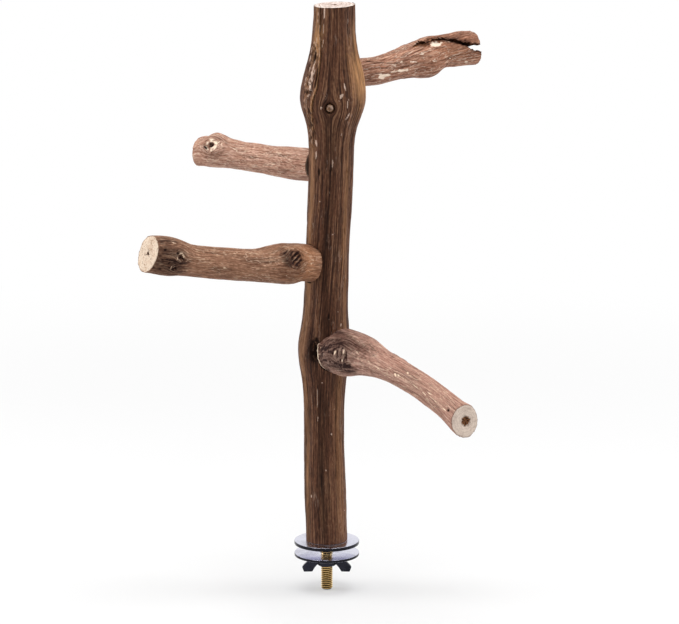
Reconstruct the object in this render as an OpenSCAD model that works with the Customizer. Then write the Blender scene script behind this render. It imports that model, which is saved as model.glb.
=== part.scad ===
// Natural wood bird perch that clamps on top of a cage, in millimetres.
// A trunk carries four arms and stands on a washer. A stud goes down through the cage wires
// to a second washer and a wing nut. The origin is the centre of the upper washer's underside.
// Angles around the trunk count from +X towards +Y, and -Y is the front.

/* [Trunk] */
// Radius of the sawn foot
foot_r = 10.4; // [9:0.1:14]
// Radius of the narrowest part, above the foot
waist_r = 10.1; // [9:0.1:14]
// Radius at mid height
middle_r = 10.8; // [9:0.1:14]
// Radius of the sawn top
top_r = 9.9; // [8:0.1:13]
// Foot of the trunk to the lower right arm
foot_to_lower_right = 99; // [60:1:160]
// Lower right arm to the middle left arm
lower_right_to_middle_left = 46; // [30:1:80]
// Middle left arm to the upper left arm
middle_left_to_upper_left = 48; // [30:1:80]
// Upper left arm to the forked arm
upper_left_to_forked = 46; // [30:1:80]
// Forked arm to the top of the trunk
forked_to_top = 36; // [25:1:80]
// Swelling of the lower knuckle beyond the trunk's radius
lower_knuckle_h = 2.2; // [0:0.1:4]
// Reach of the lower knuckle up and down the trunk
lower_knuckle_reach = 13; // [8:1:20]
// Height of the lower knuckle's widest part above the lower right arm
lower_knuckle_rise = 1; // [-4:0.5:4]
// Swelling of the upper knuckle beyond the trunk's radius
upper_knuckle_h = 5.1; // [0:0.1:8]
// Height of the upper knuckle's widest part below the forked arm
upper_knuckle_drop = 11; // [6:1:16]
// Reach of the upper knuckle above its widest part
upper_knuckle_above = 19; // [12:1:26]
// Reach of the upper knuckle below its widest part
upper_knuckle_below = 12; // [8:1:20]
// Bow of the trunk to the left, below the lower right arm
trunk_bow = 1.6; // [0:0.1:5]
// Lean of the trunk's top to the right
trunk_lean = 3.8; // [0:0.1:8]
// Tilt of the saw cut at the top
top_cut_tilt = 2; // [0:0.5:8]
// Radius of the dead twig stub on the front of the upper knuckle
stub_r = 1.9; // [1:0.1:3]
// Length of the stub that stands proud
stub_out = 0.8; // [0.3:0.1:2]
// Height of the stub below the forked arm
stub_drop = 17; // [10:1:25]
// Offset of the stub to the left of the trunk's middle
stub_left = 1.4; // [0:0.1:4]
// Direction of the hollow in the lower knuckle, beside the lower right arm
recess_azimuth = -107; // [-125:1:-95]
// Radius of the hollow's rounding
recess_r = 8; // [6:0.1:10]
// Depth of the hollow
recess_depth = 3; // [1:0.1:4]

/* [Lower right arm] */
// Direction in plan
lower_right_azimuth = -62; // [-80:1:-40]
// Rise of its root above level
lower_right_rise = 9; // [0:1:20]
// Length from its seat to its sawn end
lower_right_length = 116; // [80:1:140]
// Sideways bend at its end
lower_right_sweep = 8.6; // [0:0.2:30]
// Downward bend at its end
lower_right_drop = 27.8; // [0:0.2:40]
// Radius of its root
lower_right_root_r = 8.4; // [7:0.1:10]
// Swelling of its radius beyond the root
lower_right_swell = 3.1; // [0:0.1:4]
// Rise of its axis at the swelling
lower_right_hump = 1.4; // [0:0.1:3]
// Radius of its neck, short of the sawn end
lower_right_neck_r = 6.1; // [5:0.1:9]
// Radius of its sawn end
lower_right_tip_r = 7.3; // [6:0.1:10]
// Depth of its seat in the knuckle
lower_right_seat_depth = 3.6; // [2.5:0.1:5]

/* [Middle left arm] */
// Direction in plan
middle_left_azimuth = -145; // [-165:1:-125]
// Rise of its root above level
middle_left_rise = 8; // [0:1:20]
// Length from its seat to its sawn end
middle_left_length = 101; // [60:1:140]
// Sideways bend at its middle
middle_left_sweep = 6; // [0:1:20]
// Upward bend at its end
middle_left_lift = 3.8; // [0:0.1:10]
// Dip of its axis beyond the root
middle_left_dip = 0.8; // [0:0.1:3]
// Radius of its root
middle_left_root_r = 9.5; // [8:0.1:10]
// Swelling of its radius beyond the root
middle_left_swell = 0.7; // [0:0.1:2]
// Radius of its slim middle
middle_left_neck_r = 7.7; // [6:0.1:10]
// Swelling of its radius before the sawn end
middle_left_flare = 0.4; // [0:0.1:2]
// Radius of its sawn end
middle_left_tip_r = 9.1; // [7:0.1:11]
// Depth of its seat in the trunk
middle_left_seat_depth = 1.5; // [1:0.1:3]

/* [Upper left arm] */
// Direction in plan
upper_left_azimuth = 140; // [120:1:160]
// Fall of its root below level
upper_left_fall = 3; // [0:1:15]
// Length from its seat to its sawn end
upper_left_length = 75.5; // [50:1:120]
// Upward bend at its knot
upper_left_lift = 3.2; // [0:0.1:10]
// Sideways bend at its end
upper_left_sweep = 3; // [0:0.1:10]
// Radius of its root
upper_left_root_r = 8.2; // [7:0.1:9]
// Radius of its slim middle
upper_left_neck_r = 7.3; // [6:0.1:9]
// Swelling of its radius at the knot, beyond the sawn end's
upper_left_swell = 1.2; // [0:0.1:2]
// Radius of its sawn end
upper_left_tip_r = 6.9; // [6:0.1:9]
// Depth of its seat in the trunk
upper_left_seat_depth = 1.6; // [1:0.1:3]

/* [Forked arm] */
// Direction in plan
forked_azimuth = 38; // [20:1:60]
// Rise of its root above level
forked_rise = 3; // [0:1:15]
// Length from its seat to the ends of its prongs
forked_length = 78.5; // [50:1:120]
// Upward bend at its end
forked_lift = 1.6; // [0:0.1:6]
// Sideways bend at its end
forked_sweep = 1.6; // [0:0.1:6]
// Dip of its axis beyond the root
forked_dip = 0.8; // [0:0.1:3]
// Radius of its root
forked_root_r = 7.4; // [6:0.1:9]
// Radius of its forked end, over both prongs
forked_tip_r = 8.2; // [6:0.1:10]
// Swelling of its radius behind the forked end
forked_swell = 1.7; // [0:0.1:3]
// Taper of the prongs at their ends
prong_taper = 1.2; // [0:0.1:2]
// Depth of its seat in the knuckle
forked_seat_depth = 2.6; // [2:0.1:4]
// Length of the split between the prongs
split_length = 40; // [20:1:45]
// Opening of the split at the prongs' ends
split_mouth = 3.4; // [1:0.1:5]
// Width of the split where it starts
split_root = 0.5; // [0.3:0.1:1]
// Thickness of the upper prong where the split starts
upper_prong_root_t = 1.2; // [0.8:0.1:3]
// Thickness of the upper prong at the split's middle
upper_prong_middle_t = 5.4; // [3:0.1:8]
// Thickness of the upper prong at its end
upper_prong_end_t = 6.8; // [4:0.1:9]

/* [Arm screws] */
// Diameter of a double-ended screw
screw_d = 5; // [4:0.5:6]
// Length of its half in the trunk
screw_in_trunk = 13; // [8:0.5:15]
// Length of its half in the arm
screw_in_arm = 17; // [10:0.5:25]
// Length of the point at each end
screw_point = 4; // [2:0.5:6]
// Flat left at the very tip of a wood screw's point
screw_tip_d = 0.8; // [0.5:0.1:1.5]
// Clearance around a screw in its pilot bore
bore_clearance = 0.1; // [0.05:0.05:0.3]
// Clearance between an arm's root and the edge of its seat
seat_clearance = 0.6; // [0.3:0.1:1.5]

/* [Clamp] */
// Diameter of the hanger bolt's thread
stud_d = 6; // [5:0.5:8]
// Length of the stud below the upper washer
stud_below = 24; // [18:0.5:40]
// Length of the hanger bolt inside the trunk
stud_in_trunk = 34; // [20:1:50]
// Bevel on the stud's lower end
stud_bevel = 0.7; // [0.3:0.1:1]
// Diameter of the upper washer
upper_washer_d = 33; // [26:0.5:45]
// Thickness of the upper washer
upper_washer_t = 1.8; // [1:0.1:3]
// Diameter of the lower washer
lower_washer_d = 33; // [26:0.5:45]
// Thickness of the lower washer
lower_washer_t = 1.4; // [1:0.1:3]
// Gap between the washers, where the cage wires are clamped
clamp_gap = 4.6; // [4.3:0.1:8]
// Clearance around the stud in a washer's hole
washer_clearance = 0.3; // [0.1:0.05:0.6]
// Rounding of a washer's outer edges
washer_edge_r = 0.4; // [0.1:0.1:0.5]

/* [Wing nut] */
// Span across both wings
wing_span = 25.5; // [20:0.5:36]
// Height of the whole nut
nut_h = 9; // [7:0.5:14]
// Height of the boss
boss_h = 5.6; // [4:0.1:8]
// Diameter of the boss at the lower washer
boss_base_d = 11; // [9:0.5:15]
// Diameter of the boss at its free end
boss_end_d = 9; // [8:0.5:13]
// Thickness of a wing
wing_t = 2.4; // [1.5:0.1:4]
// Width of a wing's flat end
wing_tip_w = 5.6; // [3:0.1:8]
// Height of a wing's outer edge
wing_tip_h = 2.6; // [1.5:0.1:5]
// Slant of a wing's outer edge
wing_slant = 1; // [0:0.1:3]
// Reach of a wing's upper edge beyond the boss
wing_shoulder = 1; // [0.5:0.1:2]
// Clearance between a wing and the lower washer
wing_clearance = 0.6; // [0.3:0.1:1.5]
// Depth of a wing's foot in the boss
wing_foot = 1; // [0.5:0.1:1.5]
// Rounding of a wing's corners
wing_corner_r = 1.2; // [0.4:0.1:2]
// Clearance around the stud in the nut
thread_clearance = 0.1; // [0.05:0.05:0.3]

/* [Hidden] */
round_fn = 64;
trunk_segments = 36;
trunk_rings = 9;
arm_segments = 28;
arm_rings = 4;
slack = 1;

wood_brown = [0.36, 0.25, 0.18];
arm_brown = [0.55, 0.40, 0.32];

foot_z = upper_washer_t;
lower_right_z = foot_z + foot_to_lower_right;
middle_left_z = lower_right_z + lower_right_to_middle_left;
upper_left_z = middle_left_z + middle_left_to_upper_left;
forked_z = upper_left_z + upper_left_to_forked;
top_z = forked_z + forked_to_top;
upper_knuckle_z = forked_z - upper_knuckle_drop;
lower_washer_z = -clamp_gap;
nut_z = lower_washer_z - lower_washer_t;

// Trunk stations from foot to top: right, back, height, radius.
trunk_stations = [
  [0, 0, foot_z, foot_r],
  [-0.7 * trunk_bow, 0, foot_z + 0.32 * foot_to_lower_right, foot_r],
  [-trunk_bow, 0.1 * trunk_bow, foot_z + 0.65 * foot_to_lower_right, waist_r],
  [-0.9 * trunk_bow, 0.2 * trunk_bow, lower_right_z, middle_r],
  [0, 0.1 * trunk_bow, middle_left_z, middle_r],
  [0.55 * trunk_lean, -0.2 * trunk_bow, upper_left_z, 1.03 * middle_r],
  [0.82 * trunk_lean, 0, forked_z, 1.01 * middle_r],
  [trunk_lean, 0.1 * trunk_bow, top_z, top_r]
];

// Arm stations in the frame of the arm's seat: outward, leftward, upward, radius.
lower_right_stations = [
  [0, 0, 0, lower_right_root_r],
  [0.07 * lower_right_length, 0, 0, lower_right_root_r + 0.5 * lower_right_swell],
  [0.16 * lower_right_length, -0.2 * lower_right_hump, lower_right_hump,
   lower_right_root_r + lower_right_swell],
  [0.32 * lower_right_length, -0.65 * lower_right_hump, 0.65 * lower_right_hump,
   lower_right_root_r + 0.45 * lower_right_swell],
  [0.48 * lower_right_length, 0, -0.10 * lower_right_drop, lower_right_tip_r],
  [0.64 * lower_right_length, 0.17 * lower_right_sweep, -0.29 * lower_right_drop,
   mix(lower_right_neck_r, lower_right_tip_r, 0.2)],
  [0.79 * lower_right_length, 0.47 * lower_right_sweep, -0.53 * lower_right_drop,
   lower_right_neck_r],
  [0.91 * lower_right_length, 0.78 * lower_right_sweep, -0.78 * lower_right_drop,
   mix(lower_right_neck_r, lower_right_tip_r, 0.25)],
  [lower_right_length, lower_right_sweep, -lower_right_drop, lower_right_tip_r]
];
middle_left_stations = [
  [0, 0, 0, middle_left_root_r],
  [0.09 * middle_left_length, 0, 0, middle_left_root_r + 0.85 * middle_left_swell],
  [0.19 * middle_left_length, 0.35 * middle_left_sweep, 0, middle_left_root_r + middle_left_swell],
  [0.33 * middle_left_length, 0.65 * middle_left_sweep, -middle_left_dip,
   mix(middle_left_neck_r, middle_left_root_r, 0.3)],
  [0.50 * middle_left_length, 0.9 * middle_left_sweep, -0.6 * middle_left_dip, middle_left_neck_r],
  [0.67 * middle_left_length, middle_left_sweep, 0.2 * middle_left_lift, middle_left_neck_r],
  [0.79 * middle_left_length, middle_left_sweep, 0.4 * middle_left_lift,
   mix(middle_left_neck_r, middle_left_tip_r, 0.3)],
  [0.89 * middle_left_length, 0.95 * middle_left_sweep, 0.8 * middle_left_lift,
   middle_left_tip_r + middle_left_flare],
  [middle_left_length, 0.8 * middle_left_sweep, middle_left_lift, middle_left_tip_r]
];
upper_left_stations = [
  [0, 0, 0, upper_left_root_r],
  [0.1 * upper_left_length, 0, 0, upper_left_root_r],
  [0.23 * upper_left_length, -0.1 * upper_left_sweep, 0, upper_left_root_r],
  [0.43 * upper_left_length, 0, 0.2 * upper_left_lift, upper_left_neck_r],
  [0.64 * upper_left_length, 0.13 * upper_left_sweep, 0.55 * upper_left_lift, upper_left_neck_r],
  [0.78 * upper_left_length, 0.45 * upper_left_sweep, upper_left_lift,
   upper_left_tip_r + upper_left_swell],
  [0.90 * upper_left_length, 0.73 * upper_left_sweep, 0.9 * upper_left_lift,
   upper_left_tip_r + upper_left_swell],
  [upper_left_length, upper_left_sweep, 0.6 * upper_left_lift, upper_left_tip_r]
];
forked_stations = [
  [0, 0, 0, forked_root_r],
  [0.09 * forked_length, 0, 0, forked_root_r],
  [0.20 * forked_length, 0, -forked_dip, forked_root_r],
  [0.31 * forked_length, 0.2 * forked_sweep, -0.5 * forked_dip, forked_root_r],
  [0.42 * forked_length, 0.45 * forked_sweep, 0.1 * forked_lift,
   mix(forked_root_r, forked_tip_r, 0.5)],
  [0.53 * forked_length, 0.6 * forked_sweep, 0.4 * forked_lift,
   mix(forked_root_r, forked_tip_r + forked_swell, 0.5)],
  [0.65 * forked_length, 0.5 * forked_sweep, 0.4 * forked_lift, forked_tip_r + forked_swell],
  [0.77 * forked_length, 0.1 * forked_sweep, 0.8 * forked_lift,
   forked_tip_r + 0.2 * forked_swell],
  [0.89 * forked_length, -0.4 * forked_sweep, forked_lift, forked_tip_r],
  [forked_length, -forked_sweep, forked_lift, forked_tip_r - prong_taper]
];

// Normals of the saw cuts at the arms' free ends, in the same frame.
lower_right_cut = [0.99, 0.03, -0.11];
middle_left_cut = [0.98, -0.06, 0.18];
upper_left_cut = [1, 0.1, 0];
forked_cut = [1, 0, 0.1];

// Knots: share of the way through the stations, angle around the branch, height as a share of
// the branch's radius, spread along and spread around.
// On an arm, angle 0 is its left side and 90 its upper side.
lower_right_knots = [[0.14, 60, 0.06, 0.05, 45], [0.3, 75, 0.08, 0.06, 40]];
middle_left_knots = [[0.17, 0, 0.08, 0.05, 40], [0.85, 20, 0.1, 0.05, 45]];
upper_left_knots = [[0.86, 150, 0.14, 0.06, 40]];
forked_knots = [[0.62, -80, 0.08, 0.06, 50], [0.5, 160, 0.08, 0.08, 50]];

function mix(a, b, f) = a + (b - a) * f;
function bell(x) = exp(-x * x);
function turn(a) = a - 360 * floor((a + 180) / 360);

// Smooth interpolation between stations, and its direction.
function station(rows, u) =
  let (n = len(rows) - 1, i = min(floor(u), n - 1), f = u - i,
       a = rows[max(i - 1, 0)], b = rows[i], c = rows[i + 1], d = rows[min(i + 2, n)])
  0.5 * (2 * b + (c - a) * f + (2 * a - 5 * b + 4 * c - d) * f * f
         + (3 * b - a - 3 * c + d) * f * f * f);
function heading(rows, u) =
  let (n = len(rows) - 1, i = min(floor(u), n - 1), f = u - i,
       a = rows[max(i - 1, 0)], b = rows[i], c = rows[i + 1], d = rows[min(i + 2, n)],
       v = (c - a) + 2 * (2 * a - 5 * b + 4 * c - d) * f + 3 * (3 * b - a - 3 * c + d) * f * f)
  [v[0], v[1], v[2]] / norm([v[0], v[1], v[2]]);

// Straight interpolation between stations, where one of their columns has this value.
function between(rows, column, value) =
  let (below = [for (k = [0 : len(rows) - 2]) if (value >= rows[k][column]) k],
       a = rows[below[len(below) - 1]], b = rows[below[len(below) - 1] + 1])
  mix(a, b, (value - a[column]) / (b[column] - a[column]));

// Growth of the radius that the knots bring, as a share of it.
function knots_at(knots, share, angle) =
  len(knots) == 0 ? 0
  : [for (k = knots) k[2] * bell((share - k[0]) / k[3]) * bell(turn(angle - k[1]) / k[4])]
    * [for (k = knots) 1];

// Swelling of the two knuckles at a height on the trunk.
function knuckles(z) =
  lower_knuckle_h * bell((z - lower_right_z - lower_knuckle_rise) / lower_knuckle_reach)
  + upper_knuckle_h * bell((z - upper_knuckle_z)
                           / (z > upper_knuckle_z ? upper_knuckle_above : upper_knuckle_below));

// One ring of points across a branch, in a plane with the given normal. side_of sets angle 0.
function ring(rows, u, side_of, segments, knots, on_trunk, normal) =
  let (s = station(rows, u), h = heading(rows, u), share = u / (len(rows) - 1),
       up = cross(h, side_of) / norm(cross(h, side_of)),
       side = cross(up, h))
  [for (k = [0 : segments - 1])
    let (a = 360 * k / segments,
         r = s[3] * (1 + knots_at(knots, share, a)) + (on_trunk ? knuckles(s[2]) : 0),
         v = r * (cos(a) * side + sin(a) * up))
    [s[0], s[1], s[2]] + v - h * (v * normal) / (h * normal)];

// A closed branch through its stations, sawn flat at both ends on planes with these normals.
module branch(rows, segments, rings_per_span, knots, side_of, root_cut, end_cut,
              on_trunk = false) {
  spans = len(rows) - 1;
  rings = spans * rings_per_span + 1;
  points = [for (i = [0 : rings - 1])
             let (u = i / rings_per_span,
                  normal = i == 0 ? root_cut : i == rings - 1 ? end_cut : heading(rows, u))
             each ring(rows, u, side_of, segments, knots, on_trunk, normal)];
  walls = [for (i = [0 : rings - 2], k = [0 : segments - 1])
            let (a = i * segments + k, b = i * segments + (k + 1) % segments)
            each [[a, b + segments, b], [a, a + segments, b + segments]]];
  root_cap = [for (k = [0 : segments - 1]) k];
  end_cap = [for (k = [0 : segments - 1]) rings * segments - 1 - k];
  polyhedron(points, concat([root_cap], walls, [end_cap]), convexity = 6);
}

// Station of the trunk at a height.
function trunk_at(z) = between(trunk_stations, 2, z);

// Puts children at an arm's seat, with +X outward along the arm.
module at_seat(z, azimuth, rise, depth) {
  s = trunk_at(z);
  out = s[3] + knuckles(z) - depth;
  translate([s[0] + out * cos(azimuth), s[1] + out * sin(azimuth), z])
    rotate([0, -rise, azimuth])
      children();
}
module at_lower_right() {
  at_seat(lower_right_z, lower_right_azimuth, lower_right_rise, lower_right_seat_depth) children();
}
module at_middle_left() {
  at_seat(middle_left_z, middle_left_azimuth, middle_left_rise, middle_left_seat_depth) children();
}
module at_upper_left() {
  at_seat(upper_left_z, upper_left_azimuth, -upper_left_fall, upper_left_seat_depth) children();
}
module at_forked() {
  at_seat(forked_z, forked_azimuth, forked_rise, forked_seat_depth) children();
}

// Flat seat for an arm's root, with the pilot bore for its screw behind it.
module seat_cut(root_r, depth) {
  rotate([0, 90, 0])
    cylinder(r = root_r + seat_clearance, h = 4 * depth + slack, $fn = round_fn);
  screw_bore();
}
module screw_bore() {
  rotate([0, 90, 0])
    rotate_extrude($fn = round_fn)
      screw_profile(bore_clearance);
}
module arm_screw() {
  rotate([0, 90, 0])
    rotate_extrude($fn = round_fn)
      screw_profile(0);
}
// Half section of a double-ended screw along Y, with its seat plane at 0.
module screw_profile(grow) {
  r = screw_d / 2 + grow;
  tip = screw_tip_d / 2 + grow;
  polygon([[0, -screw_in_trunk - grow], [tip, -screw_in_trunk - grow],
           [r, -screw_in_trunk + screw_point], [r, screw_in_arm - screw_point],
           [tip, screw_in_arm + grow], [0, screw_in_arm + grow]]);
}

module trunk() {
  color(wood_brown)
    difference() {
      union() {
        branch(trunk_stations, trunk_segments, trunk_rings, [], [1, 0, 0], [0, 0, 1],
               [-sin(top_cut_tilt), 0, cos(top_cut_tilt)], true);
        twig_stub();
      }
      at_lower_right() seat_cut(lower_right_root_r, lower_right_seat_depth);
      at_middle_left() seat_cut(middle_left_root_r, middle_left_seat_depth);
      at_upper_left() seat_cut(upper_left_root_r, upper_left_seat_depth);
      at_forked() seat_cut(forked_root_r, forked_seat_depth);
      at_recess() sphere(r = recess_r, $fn = round_fn);
      hanger_bore();
    }
}
// Puts children in front of the hollow beside the lower right arm's root.
module at_recess() {
  s = trunk_at(lower_right_z);
  out = s[3] + knuckles(lower_right_z) + recess_r - recess_depth;
  translate([s[0] + out * cos(recess_azimuth), s[1] + out * sin(recess_azimuth), lower_right_z])
    children();
}
module twig_stub() {
  z = forked_z - stub_drop;
  s = trunk_at(z);
  translate([s[0] - stub_left, s[1], z])
    rotate([90, 0, 0])
      cylinder(r = stub_r, h = s[3] + knuckles(z) + stub_out, $fn = round_fn);
}
module hanger_bore() {
  rotate_extrude($fn = round_fn)
    polygon([[0, foot_z - slack], [stud_d / 2 + bore_clearance, foot_z - slack],
             [stud_d / 2 + bore_clearance, stud_in_trunk - screw_point],
             [screw_tip_d / 2 + bore_clearance, stud_in_trunk + bore_clearance],
             [0, stud_in_trunk + bore_clearance]]);
}

// An arm through its stations, with the bore for its screw. Its root is sawn square.
module arm(stations, knots, end_cut) {
  difference() {
    branch(stations, arm_segments, arm_rings, knots, [0, 1, 0], [1, 0, 0], end_cut);
    screw_bore();
  }
}
module lower_right_arm() {
  color(arm_brown)
    at_lower_right() arm(lower_right_stations, lower_right_knots, lower_right_cut);
}
module middle_left_arm() {
  color(arm_brown)
    at_middle_left() arm(middle_left_stations, middle_left_knots, middle_left_cut);
}
module upper_left_arm() {
  color(arm_brown)
    at_upper_left() arm(upper_left_stations, upper_left_knots, upper_left_cut);
}
module forked_arm() {
  color(arm_brown)
    at_forked()
      difference() {
        arm(forked_stations, forked_knots, forked_cut);
        split();
      }
}
// Height of the forked arm's upper side at a distance from its seat.
function forked_back(x) =
  let (s = between(forked_stations, 0, x))
  s[2] + s[3];
// The split that parts the forked arm's end into two prongs.
module split() {
  start = forked_length - split_length;
  middle = start + split_length / 2;
  end = forked_length + slack;
  start_h = forked_back(start) - upper_prong_root_t;
  middle_h = forked_back(middle) - upper_prong_middle_t;
  end_h = forked_back(forked_length) - upper_prong_end_t;
  rotate([90, 0, 0])
    linear_extrude(height = 4 * forked_tip_r, center = true)
      polygon([[start, start_h - split_root], [middle, middle_h - split_root],
               [end, end_h - split_mouth / 2], [end, end_h + split_mouth / 2],
               [middle, middle_h + split_root], [start, start_h]]);
}

module lower_right_screw() {
  color("silver") at_lower_right() arm_screw();
}
module middle_left_screw() {
  color("silver") at_middle_left() arm_screw();
}
module upper_left_screw() {
  color("silver") at_upper_left() arm_screw();
}
module forked_screw() {
  color("silver") at_forked() arm_screw();
}

module hanger_bolt() {
  r = stud_d / 2;
  color("goldenrod")
    rotate_extrude($fn = round_fn)
      polygon([[0, -stud_below], [r - stud_bevel, -stud_below], [r, -stud_below + stud_bevel],
               [r, stud_in_trunk - screw_point], [screw_tip_d / 2, stud_in_trunk],
               [0, stud_in_trunk]]);
}

module washer(d, t) {
  r = d / 2;
  hole_r = stud_d / 2 + washer_clearance;
  rotate_extrude($fn = round_fn)
    polygon([[hole_r, 0], [r - washer_edge_r, 0], [r, washer_edge_r], [r, t - washer_edge_r],
             [r - washer_edge_r, t], [hole_r, t]]);
}
module upper_washer() {
  color("silver") washer(upper_washer_d, upper_washer_t);
}
module lower_washer() {
  color("silver") translate([0, 0, nut_z]) washer(lower_washer_d, lower_washer_t);
}

module wing_nut() {
  color([0.2, 0.2, 0.22])
    translate([0, 0, nut_z])
      difference() {
        union() {
          translate([0, 0, -boss_h])
            cylinder(d1 = boss_end_d, d2 = boss_base_d, h = boss_h, $fn = round_fn);
          wing();
          mirror([1, 0, 0]) wing();
        }
        translate([0, 0, -nut_h])
          cylinder(r = stud_d / 2 + thread_clearance, h = nut_h + slack, $fn = round_fn);
      }
}
// One wing, from the boss out and down to its flat end.
module wing() {
  tip = wing_span / 2;
  foot = boss_end_d / 2 - wing_foot;
  rotate([90, 0, 0])
    linear_extrude(height = wing_t, center = true)
      offset(wing_corner_r, $fn = 32)
        offset(delta = -wing_corner_r)
          polygon([[foot, -wing_clearance], [boss_base_d / 2 + wing_shoulder, -wing_clearance],
                   [tip, -nut_h + wing_tip_h], [tip - wing_slant, -nut_h],
                   [tip - wing_tip_w, -nut_h], [boss_end_d / 2, -boss_h + wing_clearance],
                   [foot, -boss_h + wing_clearance]]);
}

trunk();
lower_right_arm();
middle_left_arm();
upper_left_arm();
forked_arm();
lower_right_screw();
middle_left_screw();
upper_left_screw();
forked_screw();
hanger_bolt();
upper_washer();
lower_washer();
wing_nut();
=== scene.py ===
# Looks of a natural wood bird perch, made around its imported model.
# A piece is made in millimetres, and brought to metres when it is finished.
import math

import bpy
import numpy as np
from mathutils import Matrix, Vector, noise


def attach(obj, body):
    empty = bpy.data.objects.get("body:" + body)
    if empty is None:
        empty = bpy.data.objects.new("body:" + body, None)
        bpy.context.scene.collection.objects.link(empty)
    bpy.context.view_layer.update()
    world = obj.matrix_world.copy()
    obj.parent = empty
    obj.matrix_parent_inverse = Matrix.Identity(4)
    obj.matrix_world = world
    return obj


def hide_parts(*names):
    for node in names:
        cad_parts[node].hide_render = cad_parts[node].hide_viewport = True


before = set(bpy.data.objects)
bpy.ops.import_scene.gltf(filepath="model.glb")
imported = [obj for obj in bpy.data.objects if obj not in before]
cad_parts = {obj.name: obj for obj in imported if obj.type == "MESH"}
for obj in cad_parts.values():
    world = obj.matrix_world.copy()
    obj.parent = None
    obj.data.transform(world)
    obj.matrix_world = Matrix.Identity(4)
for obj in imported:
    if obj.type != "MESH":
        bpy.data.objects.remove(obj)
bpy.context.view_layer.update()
print("frame loaded:", len(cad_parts), "nodes")
perMetre = 1000


# Small helpers for working on one object at a time.

def deselectAll():
    bpy.ops.object.select_all(action="DESELECT")


# Add a new object with nothing else selected.
def add(operator, **settings):
    deselectAll()
    operator(**settings)
    return bpy.context.object


def makeActive(obj):
    deselectAll()
    obj.select_set(True)
    bpy.context.view_layer.objects.active = obj


def startEdit(obj, mode="VERT", action="SELECT"):
    makeActive(obj)
    bpy.ops.object.mode_set(mode="EDIT")
    bpy.ops.mesh.select_mode(type=mode)
    bpy.ops.mesh.select_all(action=action)


def endEdit():
    bpy.ops.object.mode_set(mode="OBJECT")


def addModifier(obj, kind, **settings):
    makeActive(obj)
    modifier = obj.modifiers.new(kind.lower(), kind)
    for key, value in settings.items():
        setattr(modifier, key, value)
    bpy.ops.object.modifier_apply(modifier=modifier.name)


# Select the faces whose normals are wanted, and go on in edit mode.
def editFaces(obj, isWanted):
    startEdit(obj, "FACE", "DESELECT")
    endEdit()
    for face in obj.data.polygons:
        face.select = isWanted(face.normal)
    bpy.ops.object.mode_set(mode="EDIT")


def alignFaces(obj):
    startEdit(obj)
    bpy.ops.mesh.normals_make_consistent(inside=False)
    endEdit()


def trianglesOf(mesh):
    mesh.calc_loop_triangles()
    corners = np.empty(len(mesh.loop_triangles) * 3, dtype=np.int32)
    mesh.loop_triangles.foreach_get("vertices", corners)
    return corners.reshape(-1, 3)


# Faces that look inwards enclose a volume below zero, and are flipped.
def faceOutwards(obj):
    alignFaces(obj)
    a, b, c = pointsOf(obj)[trianglesOf(obj.data)].transpose(1, 0, 2)
    if (a * np.cross(b, c)).sum() < 0:
        startEdit(obj)
        bpy.ops.mesh.flip_normals()
        endEdit()


def bevelEdges(obj, width, segments=1, least=40):
    addModifier(obj, "BEVEL", width=width, segments=segments, limit_method="ANGLE",
                angle_limit=math.radians(least))


# Give a piece its materials, all faces to one of them.
def paint(obj, materials, index=0):
    obj.data.materials.clear()
    for material in materials:
        obj.data.materials.append(material)
    kinds = np.full(len(obj.data.polygons), index, dtype=np.int32)
    obj.data.polygons.foreach_set("material_index", kinds)


def cutWith(obj, cutter, operation="DIFFERENCE"):
    addModifier(obj, "BOOLEAN", object=cutter, operation=operation, solver="MANIFOLD")
    bpy.data.objects.remove(cutter)


def pointsOf(obj):
    flat = np.empty(len(obj.data.vertices) * 3)
    obj.data.vertices.foreach_get("co", flat)
    return flat.reshape(-1, 3)


# The centre or the normal of each face.
def facesOf(obj, key):
    flat = np.empty(len(obj.data.polygons) * 3)
    obj.data.polygons.foreach_get(key, flat)
    return flat.reshape(-1, 3)


def movePoints(obj, points):
    obj.data.vertices.foreach_set("co", points.ravel())
    obj.data.update()


def storeValues(obj, name, values):
    isVector = values.ndim == 2
    kind = "FLOAT_VECTOR" if isVector else "FLOAT"
    attribute = obj.data.attributes.new(name, kind, "POINT")
    attribute.data.foreach_set("vector" if isVector else "value", values.ravel())


def applyPlace(obj):
    makeActive(obj)
    bpy.ops.object.transform_apply(location=True, rotation=True, scale=True)


def finishPiece(obj, name, body, node, smoothAngle=35):
    obj.name = name
    obj.data.name = name
    obj.scale = [1 / perMetre] * 3
    applyPlace(obj)
    bpy.ops.object.shade_smooth_by_angle(angle=math.radians(smoothAngle))
    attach(obj, body)
    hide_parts(node)
    print("finished", name, len(obj.data.polygons), "faces")


# Small sums.

def unit(vector):
    return vector / np.linalg.norm(vector)


def bell(x):
    return np.exp(-x * x)


def ramp(x, low, high):
    t = np.clip((x - low) / (high - low), 0, 1)
    return t * t * (3 - 2 * t)


def turnOf(angle):
    return (angle + 180) % 360 - 180


def noiseAt(points, width, length, seed, octaves=2):
    seedStep = 17.3
    scaled = points * (1 / width, 1 / width, 1 / length) + seed * seedStep
    return np.array([noise.fractal(p, 1.0, 2.0, octaves) for p in scaled.tolist()])


# Camera, at the photograph's angle.
view = {"place": (0.0065, -1.9645, 0.5635), "tilt": 77.3, "lens": 212.08, "sensor": 36,
        "nearest": 0.05, "farthest": 50}

camera = add(bpy.ops.object.camera_add, location=view["place"],
             rotation=(math.radians(view["tilt"]), 0, 0))
camera.data.lens = view["lens"]
camera.data.sensor_width = view["sensor"]
camera.data.clip_start = view["nearest"]
camera.data.clip_end = view["farthest"]
bpy.context.scene.camera = camera
bpy.context.scene.view_settings.view_transform = "Standard"

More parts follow.
